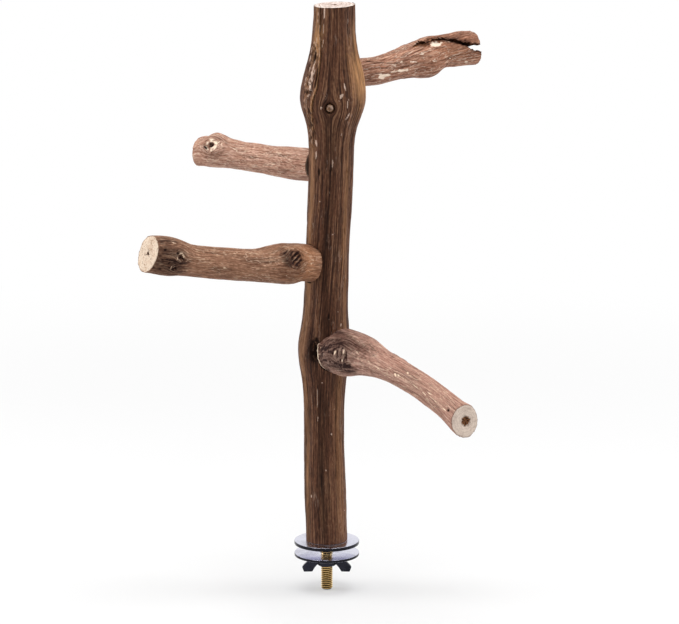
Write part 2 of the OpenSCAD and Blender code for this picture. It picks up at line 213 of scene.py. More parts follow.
# Soft studio light: a wide panel above, a tall one at each side and a weak one in front.
studio = {
    "world": 0.24,
    # place, aimed at, width and height of the panel, power
    "panels": {
        "top": ((0.0, -0.1, 1.25), (0, 0, 0.12), (1.1, 0.9), 14.0),
        "left": ((-1.05, 0.05, 0.45), (0, 0, 0.14), (0.5, 1.1), 7.6),
        "right": ((1.05, 0.05, 0.45), (0, 0, 0.14), (0.5, 1.1), 6.8),
        "front": ((0.1, -1.5, 0.7), (0, 0, 0.12), (1.0, 0.8), 3.3),
    },
    "floorHeight": -0.0243,
    "floorRadius": 12,
    "floorTone": 0.79,
    # the floor turns to the white background between these distances
    "floorFade": (0.10, 0.75),
}

for name, (place, aim, size, power) in studio["panels"].items():
    panel = add(bpy.ops.object.light_add, type="AREA", location=place)
    panel.name = name + "_panel"
    panel.rotation_euler = (Vector(aim) - Vector(place)).to_track_quat("-Z", "Y").to_euler()
    panel.data.shape = "RECTANGLE"
    panel.data.size, panel.data.size_y = size
    panel.data.energy = power
print("camera and lights placed")


# Helpers for building materials.

def put(tree, kind, inputs=None, **settings):
    node = tree.nodes.new(kind)
    for key, value in settings.items():
        setattr(node, key, value)
    for key, value in (inputs or {}).items():
        if isinstance(value, bpy.types.NodeSocket):
            tree.links.new(value, node.inputs[key])
        else:
            node.inputs[key].default_value = value
    return node


# A node in the tree of whichever of its inputs comes from another node.
def join(kind, inputs, **settings):
    tree = next(v.id_data for v in inputs.values() if isinstance(v, bpy.types.NodeSocket))
    return put(tree, kind, inputs, **settings).outputs


def sum2(operation, a, b=0.5, c=0.5, clamp=False):
    return join("ShaderNodeMath", {0: a, 1: b, 2: c}, operation=operation, use_clamp=clamp)[0]


def times(a, b, clamp=False):
    return sum2("MULTIPLY", a, b, clamp=clamp)


def plus(a, b, clamp=False):
    return sum2("ADD", a, b, clamp=clamp)


def minus(a, b):
    return sum2("SUBTRACT", a, b)


def timesPlus(a, b, c, clamp=False):
    return sum2("MULTIPLY_ADD", a, b, c, clamp)


def fromParts(x=0.0, y=0.0, z=0.0):
    return join("ShaderNodeCombineXYZ", {0: x, 1: y, 2: z})[0]


def rampOver(value, low, high, start=0.0, stop=1.0):
    inputs = {"Value": value, "From Min": low, "From Max": high, "To Min": start, "To Max": stop}
    return join("ShaderNodeMapRange", inputs, interpolation_type="SMOOTHSTEP")["Result"]


def blendOf(share, a, b):
    return join("ShaderNodeMix", {0: share, 6: a, 7: b}, data_type="RGBA")[2]


def stretched(vector, scale):
    return join("ShaderNodeVectorMath", {0: vector, 1: scale}, operation="MULTIPLY")[0]


def shifted(vector, offset):
    return join("ShaderNodeVectorMath", {0: vector, 1: offset}, operation="ADD")[0]


def cloud(vector, detail=2.0, scale=1.0, rough=0.5):
    inputs = {"Vector": vector, "Scale": scale, "Detail": detail, "Roughness": rough}
    return join("ShaderNodeTexNoise", inputs)["Fac"]


def bumpOf(height, distance, strength):
    inputs = {"Height": height, "Distance": distance, "Strength": strength}
    return join("ShaderNodeBump", inputs)["Normal"]


def attributeOf(tree, name, output="Fac"):
    return put(tree, "ShaderNodeAttribute", attribute_name=name).outputs[output]


# A colour as it is seen in a picture, 0 to 255 for each part.
def tone(*parts):
    shares = [part / 255 for part in parts]
    return (*(s / 12.92 if s < 0.04045 else ((s + 0.055) / 1.055) ** 2.4 for s in shares), 1.0)


# A number is the first value of a number input, and other inputs and the outputs have a kind.
def newGroup(name, inputs, outputs):
    tree = bpy.data.node_groups.new(name, "ShaderNodeTree")
    for direction, sockets in (("INPUT", inputs), ("OUTPUT", outputs)):
        for label, kind in sockets.items():
            socketType = "NodeSocket" + (kind if isinstance(kind, str) else "Float")
            socket = tree.interface.new_socket(label, in_out=direction, socket_type=socketType)
            if not isinstance(kind, str):
                socket.default_value = kind
    return tree, tree.nodes.new("NodeGroupInput").outputs


def closeGroup(tree, **results):
    put(tree, "NodeGroupOutput", results)
    return tree


# A group's node. "Ring Width" and the like are set to the look's ringWidth, and so on.
def useGroup(tree, group, look, **others):
    values = {}
    for item in group.interface.items_tree:
        key = item.name[0].lower() + item.name[1:].replace(" ", "")
        if item.in_out == "INPUT" and key in look:
            values[item.name] = look[key]
    return put(tree, "ShaderNodeGroup", {**values, **others}, node_tree=group).outputs


# Long streaks, pores and fibres that follow the "flow" of the grain, in millimetres.
def makeGrainGroup():
    tree, given = newGroup("woodGrain", {
        "Flow": "Vector", "Seed": 0.0, "Dark": "Color", "Middle": "Color", "Light": "Color",
        "Streak Width": 1.4, "Streak Length": 40.0, "Fibre Width": 0.35, "Contrast": 1.0,
        "Line Gap": 1.6, "Line Length": 60.0, "Dark Lines": 0.5, "Mottle": 0.3,
    }, {"Color": "Color", "Height": "Float", "Streak": "Float"})

    def stretchedBy(width, length):
        across = sum2("DIVIDE", 1.0, width)
        return fromParts(across, across, sum2("DIVIDE", 1.0, length))

    flow = shifted(given["Flow"], fromParts(given["Seed"], given["Seed"]))
    wide = cloud(stretched(flow, (0.11, 0.11, 0.016)), 2.0)
    streakScale = stretchedBy(given["Streak Width"], given["Streak Length"])
    streak = cloud(stretched(flow, streakScale), 3.0, rough=0.6)
    fibreLength = times(given["Fibre Width"], 22.0)
    fibre = cloud(stretched(flow, stretchedBy(given["Fibre Width"], fibreLength)), 2.0)
    poreWidth = sum2("DIVIDE", 1.0, times(given["Fibre Width"], 1.6))
    poreScale = fromParts(poreWidth, poreWidth, 0.2)
    pore = cloud(stretched(shifted(flow, (31.0, 7.0, 0.0)), poreScale), 1.0)
    pores = rampOver(pore, 0.60, 0.72)

    # all of them together, spread by the contrast, choose between the three tones
    total = timesPlus(fibre, 0.14, timesPlus(streak, 0.62, times(wide, 0.24)))
    mottle = cloud(stretched(shifted(flow, (3.0, 8.0, 5.0)), (1.5, 1.5, 0.5)), 3.0)
    total = timesPlus(minus(mottle, 0.5), given["Mottle"], total)
    total = timesPlus(minus(total, 0.5), given["Contrast"], 0.5)
    color = blendOf(rampOver(total, 0.36, 0.50), given["Dark"], given["Middle"])
    color = blendOf(rampOver(total, 0.50, 0.66), color, given["Light"])
    color = blendOf(times(pores, 0.55), color, given["Dark"])
    # thin dark lines, where a slow cloud crosses its middle value
    lineScale = stretchedBy(given["Line Gap"], given["Line Length"])
    contour = cloud(stretched(shifted(flow, (13.0, 5.0, 2.0)), lineScale), 1.0)
    away = sum2("ABSOLUTE", minus(contour, 0.5))
    lines = times(rampOver(away, 0.0, 0.045, 1.0, 0.0), given["Dark Lines"])
    color = blendOf(lines, color, given["Dark"])
    height = timesPlus(fibre, 0.45, times(streak, 0.6))
    height = timesPlus(pores, -0.25, timesPlus(lines, -0.3, height))
    return closeGroup(tree, Color=color, Height=height, Streak=streak)


# Short wavy pale lines and flecks left where the bark was peeled off.
def makePeelGroup():
    tree, given = newGroup("peelMarks", {
        "Flow": "Vector", "Seed": 0.0, "Line Width": 0.09, "Line Cover": 0.5, "Fleck Cover": 0.3,
    }, {"Lines": "Float", "Flecks": "Float"})
    flow = shifted(given["Flow"], fromParts(given["Seed"], 0.0, given["Seed"]))
    field = cloud(stretched(flow, (0.62, 0.62, 0.11)), 2.0, rough=0.55)
    away = sum2("ABSOLUTE", minus(field, 0.5))
    line = rampOver(away, 0.0, times(given["Line Width"], 0.35), 1.0, 0.0)
    where = cloud(stretched(flow, (0.21, 0.21, 0.055)), 1.0)
    covered = minus(1.0, given["Line Cover"])
    shown = rampOver(minus(where, times(covered, 0.5)), 0.2, 0.32)
    aside = shifted(flow, (9.0, 4.0, 2.0))
    fleckField = cloud(stretched(aside, (0.8, 0.8, 0.28)), 1.0)
    edge = timesPlus(given["Fleck Cover"], -0.16, 0.80)
    flecks = rampOver(minus(fleckField, edge), 0.0, 0.035)
    return closeGroup(tree, Lines=times(line, shown), Flecks=flecks)


# Growth rings, rays and pith on a sawn end. "Cut" holds u, v from the pith and the share to the rim.
def makeEndGrainGroup():
    tree, given = newGroup("endGrain", {
        "Cut": "Vector", "Seed": 0.0, "Sawn Pale": "Color", "Sawn Ring": "Color", "Pith": "Color",
        "Rim": "Color", "Ring Width": 1.1, "Pith Size": 1.6, "Stain": 0.3, "Speck": 0.35,
        "Ring Strength": 0.32,
    }, {"Color": "Color", "Height": "Float"})
    parts = put(tree, "ShaderNodeSeparateXYZ", {0: given["Cut"]}).outputs
    flat = fromParts(parts[0], parts[1], given["Seed"])
    squares = [times(part, part) for part in parts[:2]]
    length = sum2("SQRT", plus(*squares))
    wobble = cloud(flat, 2.0, 0.35)
    turns = timesPlus(wobble, 2.6, sum2("DIVIDE", length, given["Ring Width"]))
    wave = sum2("SINE", times(turns, 6.2832))
    rings = rampOver(wave, 0.1, 1.0)
    angle = sum2("ARCTAN2", parts[1], parts[0])
    spread = fromParts(times(angle, 9.0), times(length, 0.25), given["Seed"])
    rays = rampOver(cloud(spread, 2.0, 1.6, rough=0.7), 0.48, 0.66)
    speck = rampOver(cloud(flat, 2.0, 1.5), 0.60, 0.66)
    saw = cloud(stretched(flat, (0.25, 5.0, 1.0)), 1.0, 1.0)
    blot = rampOver(cloud(shifted(flat, (5.0, 3.0, 0.0)), 2.0, 0.28), 0.48, 0.66)

    ring = given["Sawn Ring"]
    color = blendOf(times(rings, given["Ring Strength"]), given["Sawn Pale"], ring)
    color = blendOf(times(rays, 0.28), color, ring)
    color = blendOf(times(blot, given["Stain"]), color, ring)
    color = blendOf(times(speck, given["Speck"]), color, given["Rim"])
    color = blendOf(rampOver(saw, 0.5, 0.75, 0.0, 0.14), color, given["Rim"])
    rim = rampOver(timesPlus(wobble, 0.05, parts[2]), 0.975, 1.005)
    color = blendOf(rim, color, given["Rim"])
    edge = timesPlus(cloud(flat, 2.0, 0.9), 2.2, minus(length, 1.1))
    pith = rampOver(sum2("DIVIDE", edge, given["Pith Size"]), 0.75, 1.1, 1.0, 0.0)
    spots = rampOver(cloud(flat, 2.0, 1.3), 0.52, 0.60)
    core = blendOf(times(spots, 0.9), given["Pith"], (0.012, 0.007, 0.004, 1.0))
    color = blendOf(pith, color, core)
    height = timesPlus(rays, 0.3, times(rings, 0.35))
    height = timesPlus(saw, 0.5, height)
    height = minus(height, pith)
    return closeGroup(tree, Color=color, Height=height)


# Fine scratches, smudges and grime on metal. It reads Object coordinates in metres.
def makeMetalWearGroup():
    tree, given = newGroup("metalWear", {
        "Place": "Vector", "Seed": 0.0, "Clean": "Color", "Grime": "Color", "Scratch Size": 1.0,
        "Smooth": 0.15, "Rough": 0.45,
    }, {"Color": "Color", "Roughness": "Float", "Height": "Float"})
    scale = times(given["Scratch Size"], perMetre)
    place = stretched(given["Place"], fromParts(scale, scale, scale))
    place = shifted(place, fromParts(given["Seed"]))
    smudge = rampOver(cloud(place, 3.0, 0.16, rough=0.6), 0.42, 0.68)
    # two directions of scratches: how they are stretched, their scale and where they begin to show
    directions = ((0.25, 4.0, 1.0), 1.3, 0.60), ((4.0, 0.3, 1.0), 1.1, 0.62)
    scratches = [rampOver(cloud(stretched(place, shape), 1.0, scale), least, least + 0.08)
                 for shape, scale, least in directions]
    scratch = sum2("MAXIMUM", *scratches)
    pit = rampOver(cloud(place, 2.0, 1.7), 0.64, 0.74)
    grime = times(smudge, 0.45)
    color = blendOf(sum2("MAXIMUM", grime, times(pit, 0.8)),
                    given["Clean"], given["Grime"])
    rough = timesPlus(scratch, 0.35, times(smudge, 0.8))
    span = minus(given["Rough"], given["Smooth"])
    rough = timesPlus(rough, span, given["Smooth"], clamp=True)
    height = timesPlus(scratch, -0.5, times(pit, -1.0))
    return closeGroup(tree, Color=color, Roughness=rough, Height=height)


woodGrain = makeGrainGroup()
peelMarks = makePeelGroup()
endGrain = makeEndGrainGroup()
metalWear = makeMetalWearGroup()


def newMaterial(name):
    material = bpy.data.materials.new(name)
    material.use_nodes = True
    tree = material.node_tree
    return material, tree, tree.nodes["Principled BSDF"]


# Join a colour, a roughness and a bump to a material's shader.
def coatWith(shader, color, rough, bump):
    for key, value in (("Base Color", color), ("Roughness", rough), ("Normal", bump)):
        shader.id_data.links.new(value, shader.inputs[key])


# Wood and paper hardly shine.
def makeDull(shader, specular=0.1):
    shader.inputs["Specular IOR Level"].default_value = specular


# Attributes of a branch, each from 0 to 1.
markNames = ("crevice", "pale", "dark", "warm")


# Peeled branch: grain, then knots and stains from the piece's own attributes.
def makeSkin(name, look):
    material, tree, shader = newMaterial(name)
    flow = attributeOf(tree, "flow", "Vector")
    crevice, pale, dark, warm = (attributeOf(tree, key) for key in markNames)
    grain = useGroup(tree, woodGrain, look, Flow=flow)
    peel = useGroup(tree, peelMarks, look, Flow=flow, Seed=look["seed"] + 3)
    # ochre stains, and painted shade in the furrows between the ridges
    warmed = times(warm, rampOver(grain["Streak"], 0.36, 0.56, 0.5, 0.95))
    color = blendOf(warmed, grain["Color"], look["warm"])
    color = blendOf(times(crevice, 0.55, clamp=True), color, look["hollow"])
    # peeled lines and flecks
    for kind in ("line", "fleck"):
        share = times(peel[kind.title() + "s"], look[kind + "Strength"])
        color = blendOf(share, color, look["pale"])
    # pale marks with frayed edges
    fray = cloud(stretched(flow, (2.4, 2.4, 0.5)), 3.0, rough=0.65)
    frayed = rampOver(timesPlus(minus(fray, 0.5), 1.3, pale), 0.28, 0.6)
    color = blendOf(times(frayed, times(pale, 1.15, clamp=True)), color, look["pale"])
    # dark marks, real stains and painted shade alike, which the grain's streaks show through unless
    # they are very dark
    veined = times(dark, rampOver(grain["Streak"], 0.3, 0.7, 1.25, 0.8))
    veined = plus(veined, rampOver(dark, 0.88, 1.0, 0.0, 0.3), clamp=True)
    color = blendOf(veined, color, look["hollow"])
    rough = timesPlus(grain["Streak"], -0.22, look["roughness"] + 0.11)
    rough = timesPlus(dark, 0.25, rough, clamp=True)
    height = timesPlus(peel["Lines"], 0.25, grain["Height"])
    coatWith(shader, color, rough, bumpOf(height, 0.0003, look["bump"]))
    makeDull(shader)
    return material


def makeSawnEnd(name, look):
    material, tree, shader = newMaterial(name)
    grain = useGroup(tree, endGrain, look, Cut=attributeOf(tree, "cut", "Vector"))
    dark = times(attributeOf(tree, "dark"), 0.95, clamp=True)
    color = blendOf(dark, grain["Color"], look["hollow"])
    rough = timesPlus(grain["Height"], -0.12, 0.82)
    coatWith(shader, color, rough, bumpOf(grain["Height"], 0.0002, 0.7))
    makeDull(shader)
    return material


def makeMetal(name, look):
    material, tree, shader = newMaterial(name)
    place = put(tree, "ShaderNodeTexCoord").outputs["Object"]
    wear = useGroup(tree, metalWear, look, Place=place)
    color = wear["Color"]
    # a thread's roots take the root colour, painted shade in its grooves
    if "root" in look:
        color = blendOf(attributeOf(tree, "crest"), look["root"], color)
    shader.inputs["Metallic"].default_value = 1.0
    coatWith(shader, color, wear["Roughness"], bumpOf(wear["Height"], 0.00004, look["bump"]))
    return material


# World: white where the camera or a reflection sees it, and dimmer as a light.
def makeWorld():
    world = bpy.data.worlds.new("studio")
    world.use_nodes = True
    tree = world.node_tree
    path = put(tree, "ShaderNodeLightPath").outputs
    seen = sum2("MAXIMUM", path["Is Camera Ray"], path["Is Glossy Ray"])
    seen = sum2("MAXIMUM", seen, path["Is Transmission Ray"])
    strength = timesPlus(seen, 1.0 - studio["world"], studio["world"])
    background = tree.nodes["Background"]
    background.inputs["Color"].default_value = (1, 1, 1, 1)
    tree.links.new(strength, background.inputs["Strength"])
    bpy.context.scene.world = world


# Plain floor that fades into the white background far from the perch.
def makeFloor():
    floor = add(bpy.ops.mesh.primitive_circle_add, vertices=96, radius=studio["floorRadius"],
                fill_type="NGON", location=(0, 0, studio["floorHeight"]))
    floor.name = "floor"
    material, tree, shader = newMaterial("floor_paper")
    place = put(tree, "ShaderNodeTexCoord").outputs["Object"]
    shade = cloud(place, 2.0, 2.0)
    gray = rampOver(shade, 0.3, 0.7, studio["floorTone"], studio["floorTone"] + 0.02)
    color = put(tree, "ShaderNodeCombineColor", {0: gray, 1: gray, 2: gray}).outputs[0]
    tree.links.new(color, shader.inputs["Base Color"])
    shader.inputs["Roughness"].default_value = 0.9
    makeDull(shader)
    distance = put(tree, "ShaderNodeVectorMath", {0: place}, operation="LENGTH").outputs["Value"]
    fade = rampOver(distance, *studio["floorFade"], 0.35, 1.0)
    path = put(tree, "ShaderNodeLightPath").outputs
    seen = sum2("MAXIMUM", path["Is Camera Ray"], path["Is Glossy Ray"])
    glow = put(tree, "ShaderNodeEmission", {"Color": (1, 1, 1, 1), "Strength": 1.0}).outputs[0]
    mixed = put(tree, "ShaderNodeMixShader", {
        0: times(fade, seen), 1: shader.outputs[0], 2: glow}).outputs[0]
    tree.links.new(mixed, tree.nodes["Material Output"].inputs["Surface"])
    floor.data.materials.append(material)


makeWorld()
makeFloor()
print("floor and world ready")


# Reading a branch from its CAD node: the sawn faces, then its round section step by step.

def solidOf(name):
    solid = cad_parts[name]
    return pointsOf(solid) * perMetre, trianglesOf(solid.data)


# The six largest flat faces, each of at least this many square millimetres.
def sawnFacesOf(points, triangles, leastArea=90, most=6):
    a, b, c = (points[triangles[:, k]] for k in range(3))
    crossed = np.cross(b - a, c - a)
    area = np.linalg.norm(crossed, axis=1) / 2
    real = area > 1e-6
    middle, area, crossed = ((a + b + c) / 3)[real], area[real], crossed[real]
    groups = {}
    for k, key in enumerate(map(tuple, np.round(crossed / area[:, None] / 2, 2) + 0.0)):
        groups.setdefault(key, []).append(k)
    faces = []
    for rows in groups.values():
        total = area[rows].sum()
        if total > leastArea:
            normal = unit(crossed[rows].sum(axis=0))
            centre = (middle[rows] * area[rows][:, None]).sum(axis=0) / total
            outermost = (middle[rows] @ normal).max()
            centre += normal * (outermost - centre @ normal)
            faces.append({"centre": centre, "normal": normal, "area": total})
    return sorted(faces, key=lambda face: -face["area"])[:most]


# An arm's root is its face nearest the trunk, and the trunk's root is its foot.
def endsOf(name, points, triangles):
    faces = sawnFacesOf(points, triangles)
    if name == "trunk":
        return min(faces, key=lambda f: f["normal"][2]), max(faces, key=lambda f: f["normal"][2])
    root = min(faces, key=lambda f: math.hypot(f["centre"][0], f["centre"][1]))
    facing = [f for f in faces if f["normal"] @ root["normal"] < -0.6]
    return root, max(facing, key=lambda f: np.linalg.norm(f["centre"] - root["centre"]))


# Side is a branch's left and up its back. For an upright branch they are +X and +Y.
def sideAndUp(heading):
    across = (0, 1, 0) if abs(heading[2]) > 0.8 else (0, 0, 1)
    side = unit(np.cross(across, heading))
    return side, np.cross(heading, side)


def sectionAt(points, triangles, centre, heading, within=25):
    height = (points - centre) @ heading
    found = []
    for first, second in ((0, 1), (1, 2), (2, 0)):
        i, j = triangles[:, first], triangles[:, second]
        cut = height[i] * height[j] < 0
        i, j = i[cut], j[cut]
        share = (height[i] / (height[i] - height[j]))[:, None]
        found.append(points[i] + (points[j] - points[i]) * share)
    found = np.concatenate(found)
    return found[np.linalg.norm(found - centre, axis=1) < within]


# Circle through most of a section's points: bores, splits and seats count for little.
def roundSection(points, triangles, centre, heading, passes=12, tolerance=0.15):
    side, up = sideAndUp(heading)
    section = sectionAt(points, triangles, centre, heading)
    x, y = (section - centre) @ side, (section - centre) @ up
    cx, cy = (x.min() + x.max()) / 2, (y.min() + y.max()) / 2
    radius = (x.max() - x.min() + y.max() - y.min()) / 4
    for _ in range(passes):
        off = np.hypot(x - cx, y - cy) - radius
        weight = 1 / (1 + (off / tolerance) ** 2)
        rows = np.stack([2 * x, 2 * y, np.ones(len(x))], axis=1) * weight[:, None]
        cx, cy, rest = np.linalg.lstsq(rows, (x * x + y * y) * weight, rcond=None)[0]
        radius = math.sqrt(rest + cx * cx + cy * cy)
    return centre + side * cx + up * cy, radius


# Rows of centre and radius from the root to the end, with one more beyond each for the saw.
def followBranch(points, triangles, root, end, step=5):
    heading = -root["normal"]
    centre = root["centre"] + heading * 0.6
    rows = []
    while True:
        centre, radius = roundSection(points, triangles, centre, heading)
        if rows:
            heading = unit(centre - rows[-1][0])
        rows.append((centre, radius))
        left = (end["centre"] - centre) @ heading
        if left < 0.9 * step:
            break
        centre = centre + heading * min(step, left - 0.5)
    before = (rows[0][0] + root["normal"] * step / 2, rows[0][1])
    after = (rows[-1][0] + unit(rows[-1][0] - rows[-2][0]) * 2 * step, rows[-1][1])
    return [before, *rows, after]


# A round bar bent through the rows: a curve with a circle for its section, made a mesh.
def drawBar(rows, sides, ringsPerRow):
    outline = add(bpy.ops.curve.primitive_bezier_circle_add, radius=1)
    outline.data.resolution_u = sides // 4
    path = add(bpy.ops.curve.primitive_bezier_curve_add)
    spline = path.data.splines[0]
    spline.bezier_points.add(len(rows) - 2)
    for point, (centre, radius) in zip(spline.bezier_points, rows):
        point.co = centre
        point.radius = radius
        point.handle_left_type = "AUTO"
        point.handle_right_type = "AUTO"
    spline.radius_interpolation = "CARDINAL"
    path.data.resolution_u = ringsPerRow
    path.data.bevel_mode = "OBJECT"
    path.data.bevel_object = outline
    makeActive(path)
    bpy.ops.object.convert(target="MESH")
    bar = bpy.context.object
    bpy.data.objects.remove(outline)
    alignFaces(bar)
    return bar


# Spine of a branch: places, tangents and radius, with distance counted from the root.
def spineOf(bar, sides, root):
    rings = pointsOf(bar).reshape(-1, sides, 3)
    centres = rings.mean(axis=1)
    steps = np.linalg.norm(np.diff(centres, axis=0), axis=1)
    along = np.concatenate([[0], np.cumsum(steps)])
    tangents = np.gradient(centres, axis=0)
    tangents /= np.linalg.norm(tangents, axis=1)[:, None]
    start = np.argmin(np.linalg.norm(centres - root["centre"], axis=1))
    along -= along[start] + (root["centre"] - centres[start]) @ tangents[start]
    side, up = (np.array(v) for v in zip(*[sideAndUp(t) for t in tangents]))
    radii = np.linalg.norm(rings - centres[:, None], axis=2).mean(axis=1)
    return {"centres": centres, "tangents": tangents, "along": along,
            "side": side, "up": up, "radii": radii}


# Where points lie on a branch: distance along, angle around and the way out from its middle.
def placeOn(points, spine):
    centres = spine["centres"]
    near = np.concatenate([
        np.argmin(((part[:, None, :] - centres[None]) ** 2).sum(axis=2), axis=1)
        for part in np.array_split(points, 1 + len(points) // 4000)])
    tangent = spine["tangents"][near]
    ahead = ((points - centres[near]) * tangent).sum(axis=1)
    off = points - centres[near] - tangent * ahead[:, None]
    x, y = (off * spine["side"][near]).sum(axis=1), (off * spine["up"][near]).sum(axis=1)
    away = np.hypot(x, y)
    return {"along": spine["along"][near] + ahead, "around": np.degrees(np.arctan2(y, x)),
            "out": off / np.maximum(away, 1e-6)[:, None], "away": away,
            "radius": spine["radii"][near]}


# How far each kind of unevenness reaches, across the grain and along it.
uneven = {"ragged": (1.1, 1.6), "broad": (8, 32), "ridges": (2.0, 24), "grooves": (2.6, 34),
          "fine": (0.8, 9), "wander": (14, 45), "lumps": (2.2, 3.4)}


# A branch's surface while it gains its features: how far each point lifts, how the grain flows and
# where it is marked. A place on it is so many millimetres along and so many degrees around.
class Surface:
    def __init__(self, place, look):
        self.along, self.around, self.radius = place["along"], place["around"], place["radius"]
        self.seed, self.size = look["seed"], look["size"]
        self.marks = {kind: np.zeros(len(self.along)) for kind in ("dark", "pale", "warm")}
        self.flakes = np.zeros(len(self.along))
        self.slivers = np.zeros(len(self.along))
        self.skin = self.unrolled(self.around)
        self.flow = self.unrolled(self.grainTurn(look))
        self.ragged = noiseAt(self.skin, *uneven["ragged"], self.seed + 1)
        self.broad, self.ridges, grooves, self.fine = (
            noiseAt(self.flow, *uneven[key], self.seed + k)
            for k, key in enumerate(("broad", "ridges", "grooves", "fine"), 2))
        detail = look["ridges"] * self.ridges - look["grooves"] * bell(grooves / 0.06)
        detail += look["fine"] * self.fine
        self.lift = look["broad"] * self.broad + detail
        # painted shade in the furrows, darker where the surface sinks between the ridges
        self.crevice = np.clip(-detail / 0.35, 0, 1)

    def unrolled(self, turned):
        angle = np.radians(turned)
        return np.stack([self.size * np.cos(angle), self.size * np.sin(angle), self.along], axis=1)

    # The grain parts round knots and stubs, and wanders a little.
    def grainTurn(self, look, margin=1.2):
        turned = self.around + look["spiral"] * self.along
        parted = [row[:4] for row in look["knots"]]
        parted += [(s0, a0, peg + margin, peg + margin) for s0, a0, peg, *_ in look["stubs"]]
        for s0, a0, long, wide in parted:
            across = self.acrossFrom(a0)
            far = ((self.along - s0) / long) ** 2 + (across / wide) ** 2
            turned -= np.degrees(0.85 * across / np.maximum(far, 1) / self.radius)
        wander = noiseAt(self.skin, *uneven["wander"], self.seed)
        return turned + np.degrees(1.1 * wander / self.size)

    def mark(self, kind, cover):
        self.marks[kind] = np.maximum(self.marks[kind], cover)

    def wipe(self, kind, cover):
        self.marks[kind] = self.marks[kind] * (1 - cover)

    def acrossFrom(self, a0):
        return np.radians(turnOf(self.around - a0)) * self.radius

    # Distance from the middle of an oval, which is 1 at its edge.
    def oval(self, s0, a0, long, wide, tilt=0.0):
        ahead, across = self.along - s0, self.acrossFrom(a0)
        c, s = math.cos(math.radians(tilt)), math.sin(math.radians(tilt))
        return np.hypot((ahead * c + across * s) / long, (across * c - ahead * s) / wide)

    def awayFrom(self, track):
        nearest = np.full(len(self.along), 1e6)
        for (s1, a1), (s2, a2) in zip(track, track[1:]):
            x, y = self.along - s1, self.acrossFrom(a1)
            dx, dy = s2 - s1, math.radians(turnOf(a2 - a1)) * self.radius
            t = np.clip((x * dx + y * dy) / (dx * dx + dy * dy), 0, 1)
            nearest = np.minimum(nearest, np.hypot(x - t * dx, y - t * dy))
        return nearest


# Rings round a knot: how far out, where 1 is the hollow's rim, and how wide.
knotRings = {"collar": (1.25, 0.55), "ripples": (2.0, 0.9), "shadow": (1.1, 0.1), "arcs": (1.75, 0.5),
             "scrape": (1.18, 0.14)}


def ringOf(far, name):
    middle, width = knotRings[name]
    return bell((far - middle) / width)


# Knots: along, around, length, width, rise, depth and how strong the pale ring is.
# Each has a raised collar with rings of grain, and a sunk hollow crossed by slivers of wood. The hollow
# is painted dark, partly its own dark wood and partly painted shade, with a thin painted shadow at its
# rim.
def addKnots(s, look):
    for s0, a0, long, wide, rise, depth, ring in look["knots"]:
        far = s.oval(s0, a0, long, wide) + 0.16 * s.ragged
        inner = 0.98 - 0.5 * ring
        opened = min(1.0, depth)
        s.lift += rise * ringOf(far, "collar")
        s.lift += 0.10 * np.cos(7.5 * far) * ringOf(far, "ripples")
        hollow = 1 - ramp(far, 0.5 * inner, inner)
        slanted = 0.8 * s.acrossFrom(a0) + 0.6 * (s.along - s0)
        sliver = hollow * ramp(np.sin(3.0 * slanted + 2.0 * s.ragged), 0.15, 0.7) * (1 - 0.85 * ring)
        s.lift -= depth * hollow * (0.7 + 0.9 * np.clip(s.ragged, -0.5, 0.5)) - 0.35 * depth * sliver
        shade = 1 - ramp(far, inner - 0.15, inner + 0.08)
        s.mark("dark", opened * shade * (0.97 - 0.6 * sliver))
        s.mark("dark", 0.75 * opened * ringOf(far, "shadow") * ramp(-s.ragged, -0.2, 0.15))
        s.mark("dark", look["halo"] * opened * bell(far / 2.0))
        arcs = ramp(np.cos(9 * far + 2 * s.ragged), 0.3, 0.9) * ringOf(far, "arcs")
        s.mark("dark", 0.5 * opened * arcs)
        s.mark("pale", 0.5 * opened * sliver)
        s.slivers = np.maximum(s.slivers, 0.7 * opened * sliver)
        cream = ramp(far, inner, inner + 0.1) * (1 - ramp(far, 0.92, 1.04)) * ramp(s.ragged, -0.3, 0.05)
        s.mark("pale", ring * cream)
        s.wipe("dark", 0.8 * ring * cream)
        s.mark("pale", 0.5 * opened * ringOf(far, "scrape") * ramp(s.ragged, 0.0, 0.3))


# Holes: along, around, length, width, tilt, depth. The inside is painted dark as shade. A deep one
# shows a gray lip inside.
def addHoles(s, look):
    for *oneOval, depth in look["holes"]:
        far = s.oval(*oneOval) + 0.2 * s.ragged
        s.lift -= depth * (1 - ramp(far, 0.2, 1.0))
        s.mark("dark", 1 - ramp(far, 0.75, 1.15))
        if depth > 2:
            lip = bell((far - 0.55) / 0.09) * ramp(s.ragged, -0.6, -0.15)
            s.lift += 0.8 * lip
            s.wipe("dark", 0.45 * lip)
            s.mark("pale", 0.35 * lip)


# Nicks, where the peeler took a flake off: along, around, length, width, tilt.
def addNicks(s, look):
    for s0, a0, long, wide, tilt in look["nicks"]:
        far = s.oval(s0, a0, long, wide, tilt) + (0.3 * s.ragged + 0.7 * s.fine) / (0.6 + wide)
        s.lift -= 0.14 * (1 - ramp(far, 0.5, 1.0))
        s.flakes = np.maximum(s.flakes, 1 - ramp(far, 0.65, 1.05))
    s.mark("pale", look["nickPale"] * s.flakes)


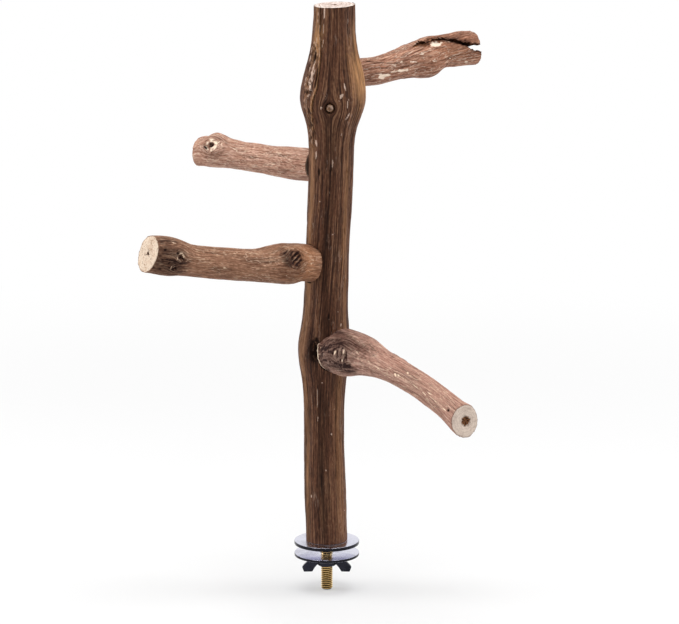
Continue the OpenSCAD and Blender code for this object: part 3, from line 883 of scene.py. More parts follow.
# Twig stubs: a dark ring sunk round a short peg: along, around, radius, gap, rise, depth.
def addStubs(s, look):
    for s0, a0, peg, gap, rise, depth in look["stubs"]:
        far = s.oval(s0, a0, 1, 1) + 0.25 * s.ragged
        ring = bell((far - peg - gap / 2) / (0.62 * gap))
        inside = 1 - ramp(far, peg - 0.4, peg + 0.1)
        s.lift += rise * inside - depth * ring + 0.35 * bell((far - peg - 2.2) / 1.0)
        # two cracks in the peg, one of them short
        x, y = s.along - s0, s.acrossFrom(a0)
        cracks = np.maximum(bell((0.8 * x + 0.6 * y) / 0.3),
                            bell((0.3 * x - 0.95 * y + 0.3) / 0.3) * (x < 0.6))
        s.wipe("dark", inside)
        s.mark("dark", ring)
        s.mark("dark", 0.85 * inside * cracks)
        s.wipe("pale", ring)
        s.mark("pale", inside * (0.6 + 0.5 * s.ragged))
        s.mark("warm", 0.6 * inside)


# Stains: kind, along, around, length, width, strength. A zone is dark with a plain edge.
def addStains(s, look):
    for kind, s0, a0, long, wide, strength in look["stains"]:
        far = s.oval(s0, a0, long, wide)
        cover = strength * bell(far * (1 + 0.3 * s.ragged))
        if kind == "zone":
            cover = strength * (1 - ramp(far + 0.3 * s.ragged + 0.4 * s.broad, 0.55, 1.2))
            s.mark("dark", cover * (1 + 0.4 * s.ridges + 0.3 * s.ragged))
        elif kind == "dark":
            s.mark("dark", cover * (1 + 0.5 * s.ridges))
        elif kind == "warm":
            s.mark("warm", cover)
        else:
            s.mark("pale", cover * ramp(s.ragged, -0.25, 0.35))


# Seams: track of along and around, width, depth, darkness.
def addSeams(s, look):
    for track, width, depth, strength in look["seams"]:
        off = s.awayFrom(track) + 0.25 * s.ragged
        s.lift -= depth * bell(off / width)
        s.lift += 0.35 * depth * bell((off - 2.2 * width) / width)
        s.mark("dark", strength * bell(off / (0.9 * width)))


# Ribs: track, width, height, how pale.
def addRibs(s, look):
    for track, width, height, strength in look["ribs"]:
        rib = bell((s.awayFrom(track) + 0.2 * s.ragged) / width)
        s.lift += height * rib
        s.mark("pale", strength * rib)
        s.mark("warm", rib)


# Callus: rough, scarred wood along a track: width, height, how pale.
def addCallus(s, look):
    for track, width, height, strength in look["callus"]:
        cover = 1 - ramp(s.awayFrom(track) / width, 0.55, 1.1)
        lumps = noiseAt(s.skin, *uneven["lumps"], s.seed + 8, 3)
        s.lift += cover * height * (1.3 * lumps - 0.1)
        s.mark("dark", cover * ramp(-lumps, 0.15, 0.45) * 0.8)
        rough = 0.4 + 0.6 * ramp(0.7 * lumps + 0.8 * s.fine, 0.15, 0.45)
        s.mark("pale", strength * cover * rough)


# Pale line where the root was cut, and fine cuts that run from it. Bare wood hides dark marks.
def addRootRim(s, look):
    fringe = ramp(np.sin(s.around * 0.9 + 9 * s.ragged), 0.55, 0.9) * ramp(s.ragged, -0.1, 0.2)
    rim = (1 - ramp(s.along, 0.9, 1.5)) + 0.7 * fringe * (1 - ramp(s.along, 1.5, 4.5))
    s.mark("pale", look["rootRim"] * rim)
    bare = np.maximum(np.maximum(s.flakes, s.slivers), np.clip(look["rootRim"] * rim, 0, 1))
    s.wipe("dark", 0.85 * bare)


# Swells and waists: along, around, length, width, height.
def addSwells(s, look):
    for *oneOval, height in look["swells"]:
        s.lift += height * bell(s.oval(*oneOval))


def surfaceOf(place, look, reach):
    s = Surface(place, look)
    for addFeatures in (addKnots, addHoles, addNicks, addStubs, addStains, addSeams, addRibs, addCallus,
                        addRootRim):
        addFeatures(s, look)
    s.lift = np.minimum(s.lift, look["highest"])
    addSwells(s, look)
    torn = look["brokenEnd"]
    if torn:
        past = np.clip((s.along - reach + torn * (1 + 0.25 * s.ragged)) / torn, 0, 1)
        s.lift -= s.radius * (1 - np.sqrt(1 - 0.5 * past ** 2))
    marks = {kind: np.clip(cover, 0, 1) for kind, cover in s.marks.items()}
    return {"lift": s.lift, "flow": s.flow, "crevice": s.crevice, **marks}


# Saw a branch off at a plane and close it with rings of faces that shrink to the pith.
def sawOff(bar, face, pith, rings=12):
    side, up = sideAndUp(face["normal"])
    heart = face["centre"] + side * pith[0] + up * pith[1]
    startEdit(bar)
    bpy.ops.mesh.bisect(plane_co=face["centre"], plane_no=face["normal"], clear_outer=True,
                        threshold=0.0001)
    bpy.ops.mesh.select_mode(type="EDGE")
    endEdit()
    chosen = np.zeros(len(bar.data.vertices), dtype=bool)
    bar.data.vertices.foreach_get("select", chosen)
    rim = pointsOf(bar)[chosen] - heart
    u, v = rim @ side, rim @ up
    order = np.argsort(np.arctan2(v, u))
    bpy.ops.object.mode_set(mode="EDIT")
    share = 1.0
    for k in range(rings):
        smaller = 1 - (k + 1) / (rings + 0.5)
        bpy.ops.mesh.extrude_region()
        scale = smaller / share
        bpy.ops.transform.resize(value=(scale, scale, scale), center_override=heart)
        share = smaller
    bpy.ops.mesh.merge(type="CENTER")
    endEdit()
    return {"heart": heart, "normal": face["normal"], "side": side, "up": up,
            "angles": np.arctan2(v, u)[order], "reach": np.hypot(u, v)[order]}


def cutPlaceOf(points, saw):
    off = points - saw["heart"]
    u, v = off @ saw["side"], off @ saw["up"]
    reach = np.interp(np.arctan2(v, u), saw["angles"], saw["reach"], period=2 * math.pi)
    return u, v, np.hypot(u, v) / reach, off @ saw["normal"]


# Cracks that run from the pith: angle and length of each.
def crackAt(u, v, rough, look):
    crack = 0 * u
    for turn, length in look["pithCracks"]:
        c, s = math.cos(math.radians(turn)), math.sin(math.radians(turn))
        ahead, aside = u * c + v * s, v * c - u * s + 0.35 * rough
        fading = (ahead > -0.1) * (1 - ramp(ahead, 0.5 * length, length))
        crack = np.maximum(crack, bell(aside / 0.26) * fading)
    return crack


# Sink the pith and its cracks, and round the rim a little.
def shapeSawnEnd(bar, saw, look):
    points = pointsOf(bar)
    u, v, share, height = cutPlaceOf(points, saw)
    onFace = np.abs(height) < 0.002
    rough = noiseAt(np.stack([u, v, 0 * u], axis=1), 1.2, 1, look["seed"] + 6)
    heart = bell(np.hypot(u, v) / (look["pithSize"] * (1 + 0.5 * rough)))
    depth = 0.9 * heart + 0.8 * crackAt(u, v, rough, look)
    depth += 0.22 * ramp(share, 0.94, 1.0) - 0.05 * rough
    points[onFace] -= saw["normal"] * depth[onFace][:, None]
    movePoints(bar, points)


def framePlace(origin, heading):
    side, up = sideAndUp(heading)
    matrix = Matrix.Identity(4)
    for k, axis in enumerate((heading, side, up)):
        for row in range(3):
            matrix[row][k] = axis[row]
    matrix.translation = Vector(origin)
    return matrix


# A drill with a pilot: the wide part makes an arm's seat and the pilot its screw's bore.
def makeDrill(origin, heading, seatRadius, boreRadius, boreDepth, point=4.0, length=30, tip=0.2):
    drill = add(bpy.ops.mesh.primitive_cylinder_add, vertices=96, radius=seatRadius, depth=length,
                location=(length / 2, 0, 0), rotation=(0, math.pi / 2, 0))
    applyPlace(drill)
    editFaces(drill, lambda normal: normal.x < -0.9)
    bpy.ops.mesh.inset(thickness=seatRadius - boreRadius)
    bpy.ops.mesh.extrude_region_move(
        TRANSFORM_OT_translate={"value": (-boreDepth + point, 0, 0)})
    bpy.ops.mesh.extrude_region_move(TRANSFORM_OT_translate={"value": (-point, 0, 0)})
    bpy.ops.transform.resize(value=(tip, tip, tip), center_override=(-boreDepth, 0, 0))
    endEdit()
    drill.matrix_world = framePlace(origin, heading)
    applyPlace(drill)
    return drill


def makeBranch(name, look, skin, sawn):
    points, triangles = solidOf(name)
    root, end = endsOf(name, points, triangles)
    rows = followBranch(points, triangles, root, end)
    bar = drawBar(rows, look["sides"], look["rings"])
    spine = spineOf(bar, look["sides"], root)
    paint(bar, [skin, sawn])
    points = pointsOf(bar)
    place = placeOn(points, spine)
    reach = (end["centre"] - spine["centres"][-1]) @ spine["tangents"][-1] + spine["along"][-1]
    spine["reach"] = reach
    lift = surfaceOf(place, look, reach)["lift"]
    movePoints(bar, points + place["out"] * lift[:, None])
    saws = [sawOff(bar, root, look["pith"][0]), sawOff(bar, end, look["pith"][1])]
    for saw in saws:
        shapeSawnEnd(bar, saw, look)
    faceOutwards(bar)
    print("   sawn", name, len(bar.data.polygons), "faces, length", round(float(reach), 1))
    return bar, spine, saws, root


# Split between two prongs: its middle and half its opening at places on the arm's frame.
def splitAt(x, y, look):
    stations = np.array(look["split"])
    middle = np.interp(x, stations[:, 0], stations[:, 1])
    half = np.interp(x, stations[:, 0], stations[:, 2])
    wavy = 0.5 * noiseAt(np.stack([x, 0.35 * y, 0 * x], axis=1), 4.0, 1, look["seed"])
    slope = look["splitTilt"] * y * ramp(x, 66, 74)
    return middle + slope + wavy * ramp(x, stations[0, 0], stations[0, 0] + 8), half


# How deep a sawn face counts as sawn, and how dark the root face and the end are painted: the root
# face, which sits against the trunk or the washer, takes painted shade, and the end none.
sawnDepth = 1.8
sawnShade = (0.92, 0)


# After all cuts: the surface's values go into attributes, and faces on saw planes get the sawn wood.
def dressBranch(bar, spine, saws, root, look, seats):
    points = pointsOf(bar)
    place = placeOn(points, spine)
    surface = surfaceOf(place, look, spine["reach"])
    cut = surface["flow"] * (1, 1, 0) + (3, 2, 0.6)
    # Painted shade in bores, seats and the split: darker the further a point lies below the branch's
    # surface.
    below = place["radius"] + surface["lift"] - place["away"]
    sunk = look["sunk"][2] * ramp(below, *look["sunk"][:2])
    # On sawn faces the pith's cracks stand in for the recess shade; the root face is painted dark as
    # shade, and the end is cleared of dark marks.
    for saw, grime in zip(saws, sawnShade):
        u, v, share, height = cutPlaceOf(points, saw)
        near = (np.abs(height) < sawnDepth) & (share < 1.02)
        cut[near] = np.stack([u, v, share], axis=1)[near]
        rough = noiseAt(np.stack([u, v, 0 * u], axis=1)[near], 1.2, 1, look["seed"] + 6)
        sunk[near] = crackAt(u[near], v[near], rough, look)
        surface["dark"][near & (share < 0.97)] = grime
    surface["dark"] = np.maximum(surface["dark"], sunk)
    # Grime and painted shade on the drilled seats, which have points only at their rims.
    for centre, heading, wide in seats:
        off = points - centre
        height = off @ heading
        onSeat = (np.abs(height) < 0.02) & (np.linalg.norm(off, axis=1) < wide + 0.1)
        surface["dark"][onSeat] = 0.95
        surface["pale"][onSeat] = 0
    # Along the split's lips the skin is painted dark: partly torn wood, partly painted shade of the gap
    # between the prongs.
    if "split" in look:
        toArm = np.array(framePlace(root["centre"], -root["normal"]).inverted())
        x, y, z = toArm[:3] @ np.append(points, np.ones((len(points), 1)), axis=1).T
        middle, half = splitAt(x, y, look)
        edge = np.abs(z - middle) - half + 0.8 * noiseAt(points, 1.2, 1.2, look["seed"])
        front = np.maximum(ramp(-y, -1, 2), ramp(x, 66, 70))
        front *= ramp(x, look["split"][0][0], look["split"][0][0] + 6)
        surface["dark"] = np.maximum(surface["dark"], look["splitDark"] * bell(edge / 0.7) * front)
    storeValues(bar, "flow", surface["flow"])
    storeValues(bar, "cut", cut)
    for key in markNames:
        storeValues(bar, key, surface[key])
    middles, normals = facesOf(bar, "center"), facesOf(bar, "normal")
    kinds = np.zeros(len(middles), dtype=np.int32)
    bar.data.polygons.foreach_get("material_index", kinds)
    for saw in saws:
        u, v, share, height = cutPlaceOf(middles, saw)
        kinds[(normals @ saw["normal"] > 0.35) & (height > -sawnDepth) & (share < 1.0)] = 1
    bar.data.polygons.foreach_set("material_index", kinds)


# What most branches share. Lengths are in millimetres and angles in degrees. What the rows of
# knots, holes and the like say stands at the functions that add them.
plainLook = {
    "rings": 9, "broad": 0.28, "highest": 0.3, "halo": 0.2,
    "stubs": [], "ribs": [], "callus": [], "seams": [], "nickPale": 0.85,
    "brokenEnd": 0, "pithSize": 1.2, "pithCracks": [], "rootRim": 0.15,
    "streakWidth": 0.65, "streakLength": 8.0, "contrast": 0.95, "roughness": 0.55,
    "lineGap": 1.0, "lineLength": 7.0, "darkLines": 0.35, "fleckCover": 0.25, "lineStrength": 0.4,
    "fleckStrength": 0.5, "bump": 0.7, "mottle": 0.4,
    "ringWidth": 1.3, "ringStrength": 0.3, "stain": 0.35, "speck": 0.3, "sunk": (0.15, 0.7, 0.95),
}

trunkLook = {
    **plainLook,
    "seed": 3, "size": 11.0, "sides": 176, "rings": 8, "spiral": -0.05,
    "broad": 0.32, "ridges": 0.26, "grooves": 0.26, "fine": 0.12, "highest": 0.35, "halo": 0.35,
    "knots": [(118, 75, 3.2, 2.4, 0.4, 1.2, 0.3), (52, 128, 2.6, 2.0, 0.35, 1.0, 0.6),
              (171, 35, 2.4, 1.9, 0.3, 0.9, 0), (232, 60, 4.0, 3.2, 0.4, 1.3, 0.7)],
    "stubs": [(225.5, -94, 2.05, 0.5, 0.15, 2.0)], "nickPale": 0.75,
    "swells": [(252, -4, 30, 8, 0.6), (243, -6, 8, 8, 0.7), (110, -4, 90, 8, 0.5),
               (60, 180, 40, 8, -0.3), (165, 180, 30, 8, -0.35)],
    "holes": [(101.5, -110, 7.4, 3.6, 0, 3.0), (249.8, -139, 3.8, 1.0, 0, 1.1),
              (240, -124, 6.5, 0.6, 0, 0.8), (193.9, -90, 2.8, 0.45, 0, 0.4),
              (192.4, -121, 2.4, 0.5, 0, 0.4), (119.4, -80, 2.2, 0.5, 0, 0.5)],
    "nicks": [(272.5, -118, 3.7, 0.55, 2), (264, -118, 2.4, 0.3, 0), (258, -117, 1.2, 0.35, 0),
              (236.1, -66, 2.2, 0.5, -14), (231.3, -74, 1.8, 0.9, 30), (229, -77, 0.9, 0.4, -40),
              (227, -61, 2.8, 0.3, 8), (220.8, -58, 2.0, 0.5, 30), (225.5, -110, 1.2, 0.9, 20),
              (206.8, -132, 2.0, 0.8, -10), (201, -132, 2.4, 0.4, 5), (197, -85, 2.0, 0.35, 0),
              (177.4, -117, 0.6, 0.5, 0), (161.5, -76, 1.0, 0.4, 40), (121.2, -53, 0.9, 0.4, 0),
              (114.3, -44, 1.0, 0.4, 20), (84.8, -92, 0.7, 0.6, 0), (70.5, -58, 0.5, 0.4, 0),
              (57.6, -66, 0.6, 0.4, 0), (39.1, -84, 0.6, 0.4, 0), (25.1, -132, 0.9, 0.4, 0),
              (16.4, -24, 0.5, 0.5, 0), (77, -107, 5.5, 0.25, 0), (66, -106, 3.5, 0.22, 0),
              (150, -112, 3.0, 0.25, 0), (140, 60, 2.4, 0.6, 5), (88, 110, 2.0, 0.5, -8),
              (200, 95, 2.8, 0.6, 6), (256, 80, 3.0, 0.5, 0), (30, 70, 2.6, 0.4, 3)],
    "stains": [("warm", 240, -24, 13, 5.6, 1.2), ("warm", 238, -16, 9, 3.0, 1.2),
               ("warm", 256, -22, 10, 2.4, 0.6),
               ("warm", 258, -138, 9, 2.6, 1.2), ("pale", 257, -139, 8, 1.6, 0.6),
               ("pale", 270, -142, 8, 0.8, 0.6), ("warm", 270, -146, 10, 2.0, 0.4),
               ("pale", 236, -137, 7, 2.2, 0.9),
               ("pale", 231, -104, 1.5, 3.0, 0.45), ("dark", 212, -85, 16, 5, 0.35),
               ("dark", 240, -95, 22, 4, 0.25), ("dark", 30, -97, 40, 1.6, 0.7),
               ("dark", 75, -98, 18, 1.4, 0.6), ("dark", 176, -60, 38, 0.5, 0.7),
               ("dark", 180, -92, 40, 3.0, 0.35), ("warm", 178, -42, 40, 1.5, 0.35),
               ("warm", 130, -30, 40, 1.2, 0.3), ("dark", 35, -160, 35, 0.8, 0.5),
               ("dark", 101, -114, 9, 4.0, 0.8), ("warm", 243, -22, 9, 4, 1.0),
               ("dark", 255, -88, 24, 7, 0.15), ("dark", 120, -90, 60, 4.0, 0.3),
               ("dark", 40, -95, 70, 3.5, 0.3), ("dark", 226, -92, 9, 6, 0.4),
               ("dark", 200, -90, 20, 6, 0.3), ("warm", 160, -148, 60, 2.2, 0.45),
               ("warm", 50, -150, 60, 2.4, 0.35), ("warm", 60, -42, 60, 2.5, 0.25),
               ("dark", 116, -79, 5, 2, 0.5), ("dark", 60, 60, 60, 2.5, 0.3),
               ("warm", 150, 120, 70, 3, 0.35), ("dark", 232, 60, 8, 7, 0.4)],
    "seams": [([(277, -132), (262, -128), (253, -121), (244, -119), (234, -119), (229, -126),
                (214, -136), (204, -144)], 0.3, 0.7, 0.95),
              ([(190, 150), (170, 146), (150, 149), (128, 143)], 0.4, 0.5, 0.7)],
    "ribs": [([(266, -132), (256, -127), (247, -123), (236, -122), (228, -129), (214, -140)],
              0.42, 0.3, 0.5)],
    "callus": [([(254, -147), (244, -143), (233, -143)], 4.2, 0.75, 0.66),
               ([(230, -143), (218, -148), (208, -152)], 3.8, 0.7, 0.4)],
    "pith": [(0.6, -0.4), (0.8, 0.6)],
    "pithCracks": [(35, 4.5), (160, 3.5), (275, 4.0)], "rootRim": 0.0,
    "dark": tone(48, 27, 18), "middle": tone(94, 60, 43), "light": tone(140, 102, 76),
    "warm": tone(178, 130, 86), "pale": tone(212, 184, 166), "hollow": tone(32, 18, 12),
    "streakWidth": 0.5, "streakLength": 42.0, "contrast": 1.4,
    "lineGap": 1.1, "lineLength": 50.0, "darkLines": 0.6,
    "lineCover": 0.25, "fleckCover": 0.1, "lineStrength": 0.2, "bump": 0.8, "mottle": 0.2,
    "sawnPale": tone(222, 208, 200), "sawnRing": tone(140, 111, 96), "rim": tone(234, 223, 214),
    "ringWidth": 1.6, "ringStrength": 0.85, "stain": 0.45, "sunk": (0.15, 0.6, 0.95),
}

lowerRightLook = {
    **plainLook,
    "seed": 11, "size": 8.0, "sides": 144, "spiral": 0.12,
    "ridges": 0.24, "grooves": 0.20, "fine": 0.12, "halo": 0.0,
    "knots": [(29.5, 176, 5.0, 3.6, 0.35, 0.0, 0), (40.7, 113, 1.3, 1.2, 0.25, 0.3, 0.4),
              (63, 60, 3.0, 2.2, 0.4, 0.9, 0.5), (95, -30, 2.4, 1.9, 0.35, 0.8, 0)],
    "swells": [(16, 94, 5.0, 6.0, 1.0), (1.5, 126, 4.5, 5.5, 1.5), (47, 78, 11, 5.0, -1.1),
               (84, 85, 22, 6, 0.4), (120, 65, 5, 5, 0.7), (109, -140, 8, 4, -0.3)],
    "holes": [(27.6, 177, 0.7, 2.0, 15, 1.3), (31.3, 170, 0.7, 2.1, -10, 1.3),
              (36.0, 174, 0.7, 2.6, -12, 1.2), (30.4, -170, 0.8, 1.0, 30, 1.0),
              (24.0, 176, 0.5, 1.3, 20, 0.8), (115.6, 152, 0.9, 0.6, 0, 0.7),
              (36, -158, 0.8, 0.6, 0, 0.5)],
    "nicks": [(25.7, 171, 0.7, 1.2, 25), (33.8, 165, 0.6, 1.5, -15), (32.1, -169, 0.6, 1.0, 30),
              (42.6, 153, 2.6, 0.3, 18), (52, 165, 3.0, 0.25, 10), (60.3, 174, 2.8, 0.25, 10),
              (74, 165, 1.5, 0.8, 30), (76, 158, 0.9, 0.7, 0), (80.8, 128, 1.2, 0.6, 30),
              (79.2, 158, 2.6, 0.22, 0), (90, 160, 3.0, 0.2, 3), (96.7, 163, 2.0, 0.4, 10),
              (105, 160, 3.0, 0.2, 0), (113.6, 160, 2.2, 0.22, 0), (88, 172, 2.4, 0.22, 4),
              (100, 148, 2.6, 0.2, -2), (70, 150, 2.4, 0.22, 6), (66, -168, 2.0, 0.22, 6),
              (4.5, 152, 1.4, 0.35, 10), (3.5, 172, 1.6, 0.35, 0), (60, 20, 3.0, 0.5, 5),
              (85, 60, 3.5, 0.4, -4)],
    "stains": [("zone", 16, 178, 38, 19, 0.76), ("zone", 30, 178, 11, 9, 0.88),
               ("zone", 30, -150, 17, 6.5, 0.92), ("zone", 26, 134, 8, 4, 0.6),
               ("dark", 46, 130, 8, 6, 0.35),
               ("dark", 30, 176, 4.6, 4.2, 0.95), ("dark", 62, -150, 24, 5, 0.2),
               ("dark", 25, 60, 16, 9, 0.4), ("dark", 30, -60, 18, 9, 0.4)],
    "seams": [([(21, 144), (27, 132), (31, 124)], 0.22, 0.25, 0.9),
              ([(25, 146), (30, 136), (35, 130)], 0.22, 0.25, 0.9),
              ([(18, 136), (23, 126)], 0.22, 0.2, 0.8),
              ([(29, 150), (34, 143), (38, 140)], 0.2, 0.2, 0.8),
              ([(36, 165), (43, 160), (50, 162)], 0.2, 0.2, 0.7)],
    "pith": [(0, 0), (0.9, 0.3)], "pithSize": 2.7, "rootRim": 1.0,
    "dark": tone(132, 92, 78), "middle": tone(174, 132, 115), "light": tone(206, 169, 151),
    "warm": tone(190, 140, 100), "pale": tone(240, 216, 188), "hollow": tone(36, 15, 10),
    "streakWidth": 0.7, "streakLength": 12.0, "lineGap": 1.1, "lineLength": 11.0,
    "darkLines": 0.25, "lineCover": 0.62, "fleckCover": 0.3, "fleckStrength": 0.8,
    "sawnPale": tone(222, 205, 191), "sawnRing": tone(168, 144, 128), "rim": tone(134, 106, 92),
    "stain": 0.3, "speck": 0.25,
}

middleLeftLook = {
    **plainLook,
    "seed": 23, "size": 8.6, "sides": 148, "spiral": -0.1,
    "ridges": 0.24, "grooves": 0.18, "fine": 0.13, "halo": 0.25,
    "knots": [(19.2, 23, 3.7, 4.6, 0.45, 1.8, 0), (90.8, -29, 1.7, 1.5, 0.3, 1.1, 0),
              (89.0, 9, 2.1, 2.4, 0.35, 1.2, 0.75), (45, -120, 2.6, 2.0, 0.35, 1.0, 0.6)],
    "swells": [(50, 102, 16, 5, 0.5), (66, -78, 10, 5, 0.4), (0, 98, 2.0, 6, -0.5),
               (30, 96, 6, 5, 0.6), (6, -72, 5, 7, -0.9), (14, 96, 5, 5, -0.4)],
    "holes": [(97.3, 24, 0.7, 0.6, 0, 0.6), (97.7, -39, 0.7, 0.5, 0, 0.6),
              (90.8, 18, 0.9, 0.7, 0, 0.9), (87.6, 4, 0.9, 0.6, 30, 0.9)],
    "nicks": [(92.1, 50, 2.0, 0.5, 20), (90.8, 3, 1.1, 0.35, 60), (87.6, 13, 1.0, 0.35, 40),
              (88.6, 20, 1.2, 0.3, -30), (92.5, -27, 1.4, 0.35, 80), (9, 28, 0.8, 0.4, 60),
              (8, 8, 0.6, 0.4, 0), (6, 18, 0.9, 0.3, 70), (38, 10, 1.4, 0.25, 5),
              (62, -8, 0.9, 0.35, 10), (50, 160, 3.0, 0.4, 0), (74, -110, 2.2, 0.4, 4)],
    "stains": [("zone", 23.5, 28, 4.5, 6.5, 0.76), ("zone", 96, -8, 14, 13, 0.78),
               # the long pale stain along the upper side is a painted highlight where the top light
               # falls
               ("pale", 50, 54, 36, 5, 0.5),
               ("zone", 90, -40, 10, 6, 0.66), ("zone", 89.5, 6, 5, 6, 0.8),
               ("dark", 93, 60, 10, 7, 0.35), ("dark", 92, 180, 12, 14, 0.4),
               ("warm", 10, 10, 8, 12, 0.55), ("pale", 20, 60, 9, 4, 0.35)],
    "pith": [(0, 0), (-0.4, -0.3)], "pithSize": 0.8, "pithCracks": [(95, 2.6), (215, 2.4), (330, 2.8)],
    "dark": tone(98, 65, 48), "middle": tone(136, 97, 75), "light": tone(180, 140, 113),
    "warm": tone(180, 124, 84), "pale": tone(226, 198, 170), "hollow": tone(32, 14, 10),
    "lineCover": 0.6, "lineStrength": 0.35, "fleckStrength": 0.6, "mottle": 0.45,
    "sawnPale": tone(226, 208, 188), "sawnRing": tone(186, 148, 116), "rim": tone(140, 104, 80),
    "ringWidth": 1.4, "speck": 0.95,
}

upperLeftLook = {
    **plainLook,
    "seed": 31, "size": 7.6, "sides": 132, "spiral": 0.1,
    "ridges": 0.26, "grooves": 0.18, "fine": 0.13,
    "knots": [(63.1, 31, 3.7, 3.4, 0.5, 1.5, 1.0), (30, -110, 2.2, 1.8, 0.3, 0.8, 0.3)],
    "swells": [(64.2, 92, 3.3, 5, 1.3), (40, 104, 8, 5, 0.4), (69, 96, 1.2, 4, -0.7),
               (73, 96, 3.0, 5, 0.5), (57.5, 80, 3.6, 6, -1.1), (50, 80, 6, 6, -0.6)],
    "holes": [(66, 20, 1.8, 0.7, 20, 0.9)],
    "nicks": [(59.4, 46, 1.8, 0.25, 75), (57.8, 38, 1.6, 0.2, 80), (50, 34, 1.6, 0.22, 12),
              (48, 30, 1.0, 0.3, -20), (22, 0, 2.0, 0.2, 0), (45, -20, 1.6, 0.25, 4),
              (30, 160, 2.6, 0.4, 4), (50, -150, 2.4, 0.4, -3)],
    # the second stain, long and pale along the upper side, is a painted highlight where the top light
    # falls
    "stains": [("dark", 66, 24, 4, 3, 0.35), ("pale", 30, 62, 30, 6, 0.45)],
    "pith": [(0, 0), (0.5, 0.3)], "pithCracks": [(60, 2.4), (190, 2.4), (300, 2.0)],
    "dark": tone(128, 88, 72), "middle": tone(176, 134, 113), "light": tone(214, 178, 160),
    "warm": tone(190, 140, 106), "pale": tone(240, 218, 194), "hollow": tone(44, 24, 18),
    "contrast": 1.05, "lineCover": 0.75,
    "sawnPale": tone(232, 214, 194), "sawnRing": tone(190, 158, 132), "rim": tone(128, 94, 74),
    "speck": 0.35,
}

forkedLook = {
    **plainLook,
    "seed": 43, "size": 8.0, "sides": 140, "spiral": 0.25, "broad": 0.40, "ridges": 0.32,
    "grooves": 0.26, "fine": 0.14, "highest": 0.35,
    "knots": [(30, 40, 2.6, 2.0, 0.4, 1.0, 0.4), (62, 20, 2.4, 2.2, 0.4, 0.9, 0)],
    "swells": [(77, 86, 10, 8, 1.6), (63, 78, 9, 6, 0.8), (50, 86, 11, 6, 0.7),
               (36, 95, 1.6, 4, 0.5),
               (59, -122, 5.0, 8, -1.5), (78, -106, 6, 8, 1.2), (24, -112, 14, 6, -0.5),
               (55, -108, 5, 9, -0.9), (5, 88, 9, 8, -0.5),
               (66, -125, 7, 8, -0.9), (80, 8, 6, 9, -0.6)],
    "holes": [(56.3, -151, 1.3, 0.7, 30, 0.9), (7.5, 122, 1.2, 0.4, 10, 0.5)],
    "nicks": [(27.3, 155, 0.7, 0.5, 0), (58.8, -170, 0.9, 0.5, 20), (22, 161, 1.0, 0.3, 10),
              (13.4, -166, 2.4, 1.5, 20), (16.2, -170, 3.2, 0.7, 8), (21.5, -175, 2.6, 0.45, 6),
              (26.0, -172.5, 4.0, 0.9, 5), (29.6, -169, 1.2, 1.1, 40), (51.7, 127.5, 5.2, 2.3, -4),
              (40, 113, 1.2, 0.5, 0), (43.5, 112, 0.8, 0.5, 0), (54, 116, 0.9, 0.5, 0),
              (58, 119, 0.8, 0.6, 20), (61, 124, 1.0, 0.5, -20),
              (35, 170, 2.4, 0.3, 15), (46, 178, 2.2, 0.3, 20), (40, 150, 1.6, 0.4, 10),
              (69.5, -138, 1.6, 0.7, 5), (65, -150, 1.6, 0.35, 10), (20, 30, 2.4, 0.5, 5),
              (44, -60, 4.0, 1.2, 8), (33, 20, 4.0, 1.2, 8)],
    "stains": [("dark", 6, 178, 5, 6, 0.3), ("dark", 62, 150, 8, 3, 0.3),
               ("pale", 20, 105, 16, 4, 0.3), ("warm", 52, 118, 8, 3.0, 0.9),
               ("warm", 60, 160, 14, 7, 0.35), ("dark", 70, 150, 6, 3, 0.35)],
    "seams": [([(5, 118), (10, 130), (15, 138), (20, 148), (25, 156)], 0.25, 0.3, 0.75),
              ([(12, 160), (22, 175), (30, -178), (38, 178), (46, -175)], 0.2, 0.22, 0.5)],
    "brokenEnd": 0.9, "pith": [(0, 0), (0, 0)], "rootRim": 0.3,
    "dark": tone(102, 64, 48), "middle": tone(152, 107, 86), "light": tone(192, 149, 125),
    "warm": tone(176, 116, 78), "pale": tone(234, 214, 194), "hollow": tone(42, 20, 12),
    "streakWidth": 1.0, "streakLength": 12.0, "contrast": 1.1, "roughness": 0.58,
    "lineGap": 1.25, "lineLength": 13.0, "darkLines": 0.7,
    "lineCover": 0.65, "fleckCover": 0.3, "lineStrength": 0.42, "fleckStrength": 0.55,
    "bump": 0.65, "mottle": 0.45,
    "sawnPale": tone(150, 98, 66), "sawnRing": tone(96, 56, 34), "rim": tone(70, 40, 26),
    "ringStrength": 0.5, "stain": 0.7, "speck": 0.7, "sunk": (0.4, 4.0, 0.75),
    # Split between the prongs: distance from the root, height and half its opening there.
    "split": [(37, 8.3, 0.1), (40, 8.8, 0.3), (43, 9.2, 0.65), (46, 9.3, 0.5), (48, 9.9, 0.5),
              (51.6, 10.1, 0.5), (55.5, 9.7, 0.6), (60.3, 8.9, 0.65), (62.3, 8.1, 0.7),
              (65.1, 6.9, 1.0), (68.3, 5.5, 1.25), (70, 4.35, 1.45), (72.8, 2.5, 1.55),
              (75.6, 1.5, 1.65), (79, 0.9, 1.7), (90, 0.2, 2.2)],
    "splitTilt": -0.2, "splitDark": 0.85,
    # nearest the root it reaches only this far back, and it goes right through between these places
    "splitBack": (1.0, 76.5, 78.5),
}

pithTone = tone(112, 72, 46)
# the seat is this much wider than the root, and the drill in the arm is wider than any root
seatSizes = {"clearance": 0.6, "facing": 14}
screwSizes = {"radius": 2.5, "core": 1.7, "pitch": 2.2, "boreGap": 0.1, "inTrunk": 13.0,
              "inArm": 17.0, "point": 4.0}
looks = {"trunk": trunkLook, "lower_right_arm": lowerRightLook, "middle_left_arm": middleLeftLook,
         "upper_left_arm": upperLeftLook, "forked_arm": forkedLook}
armNames = ("lower_right_arm", "middle_left_arm", "upper_left_arm", "forked_arm")

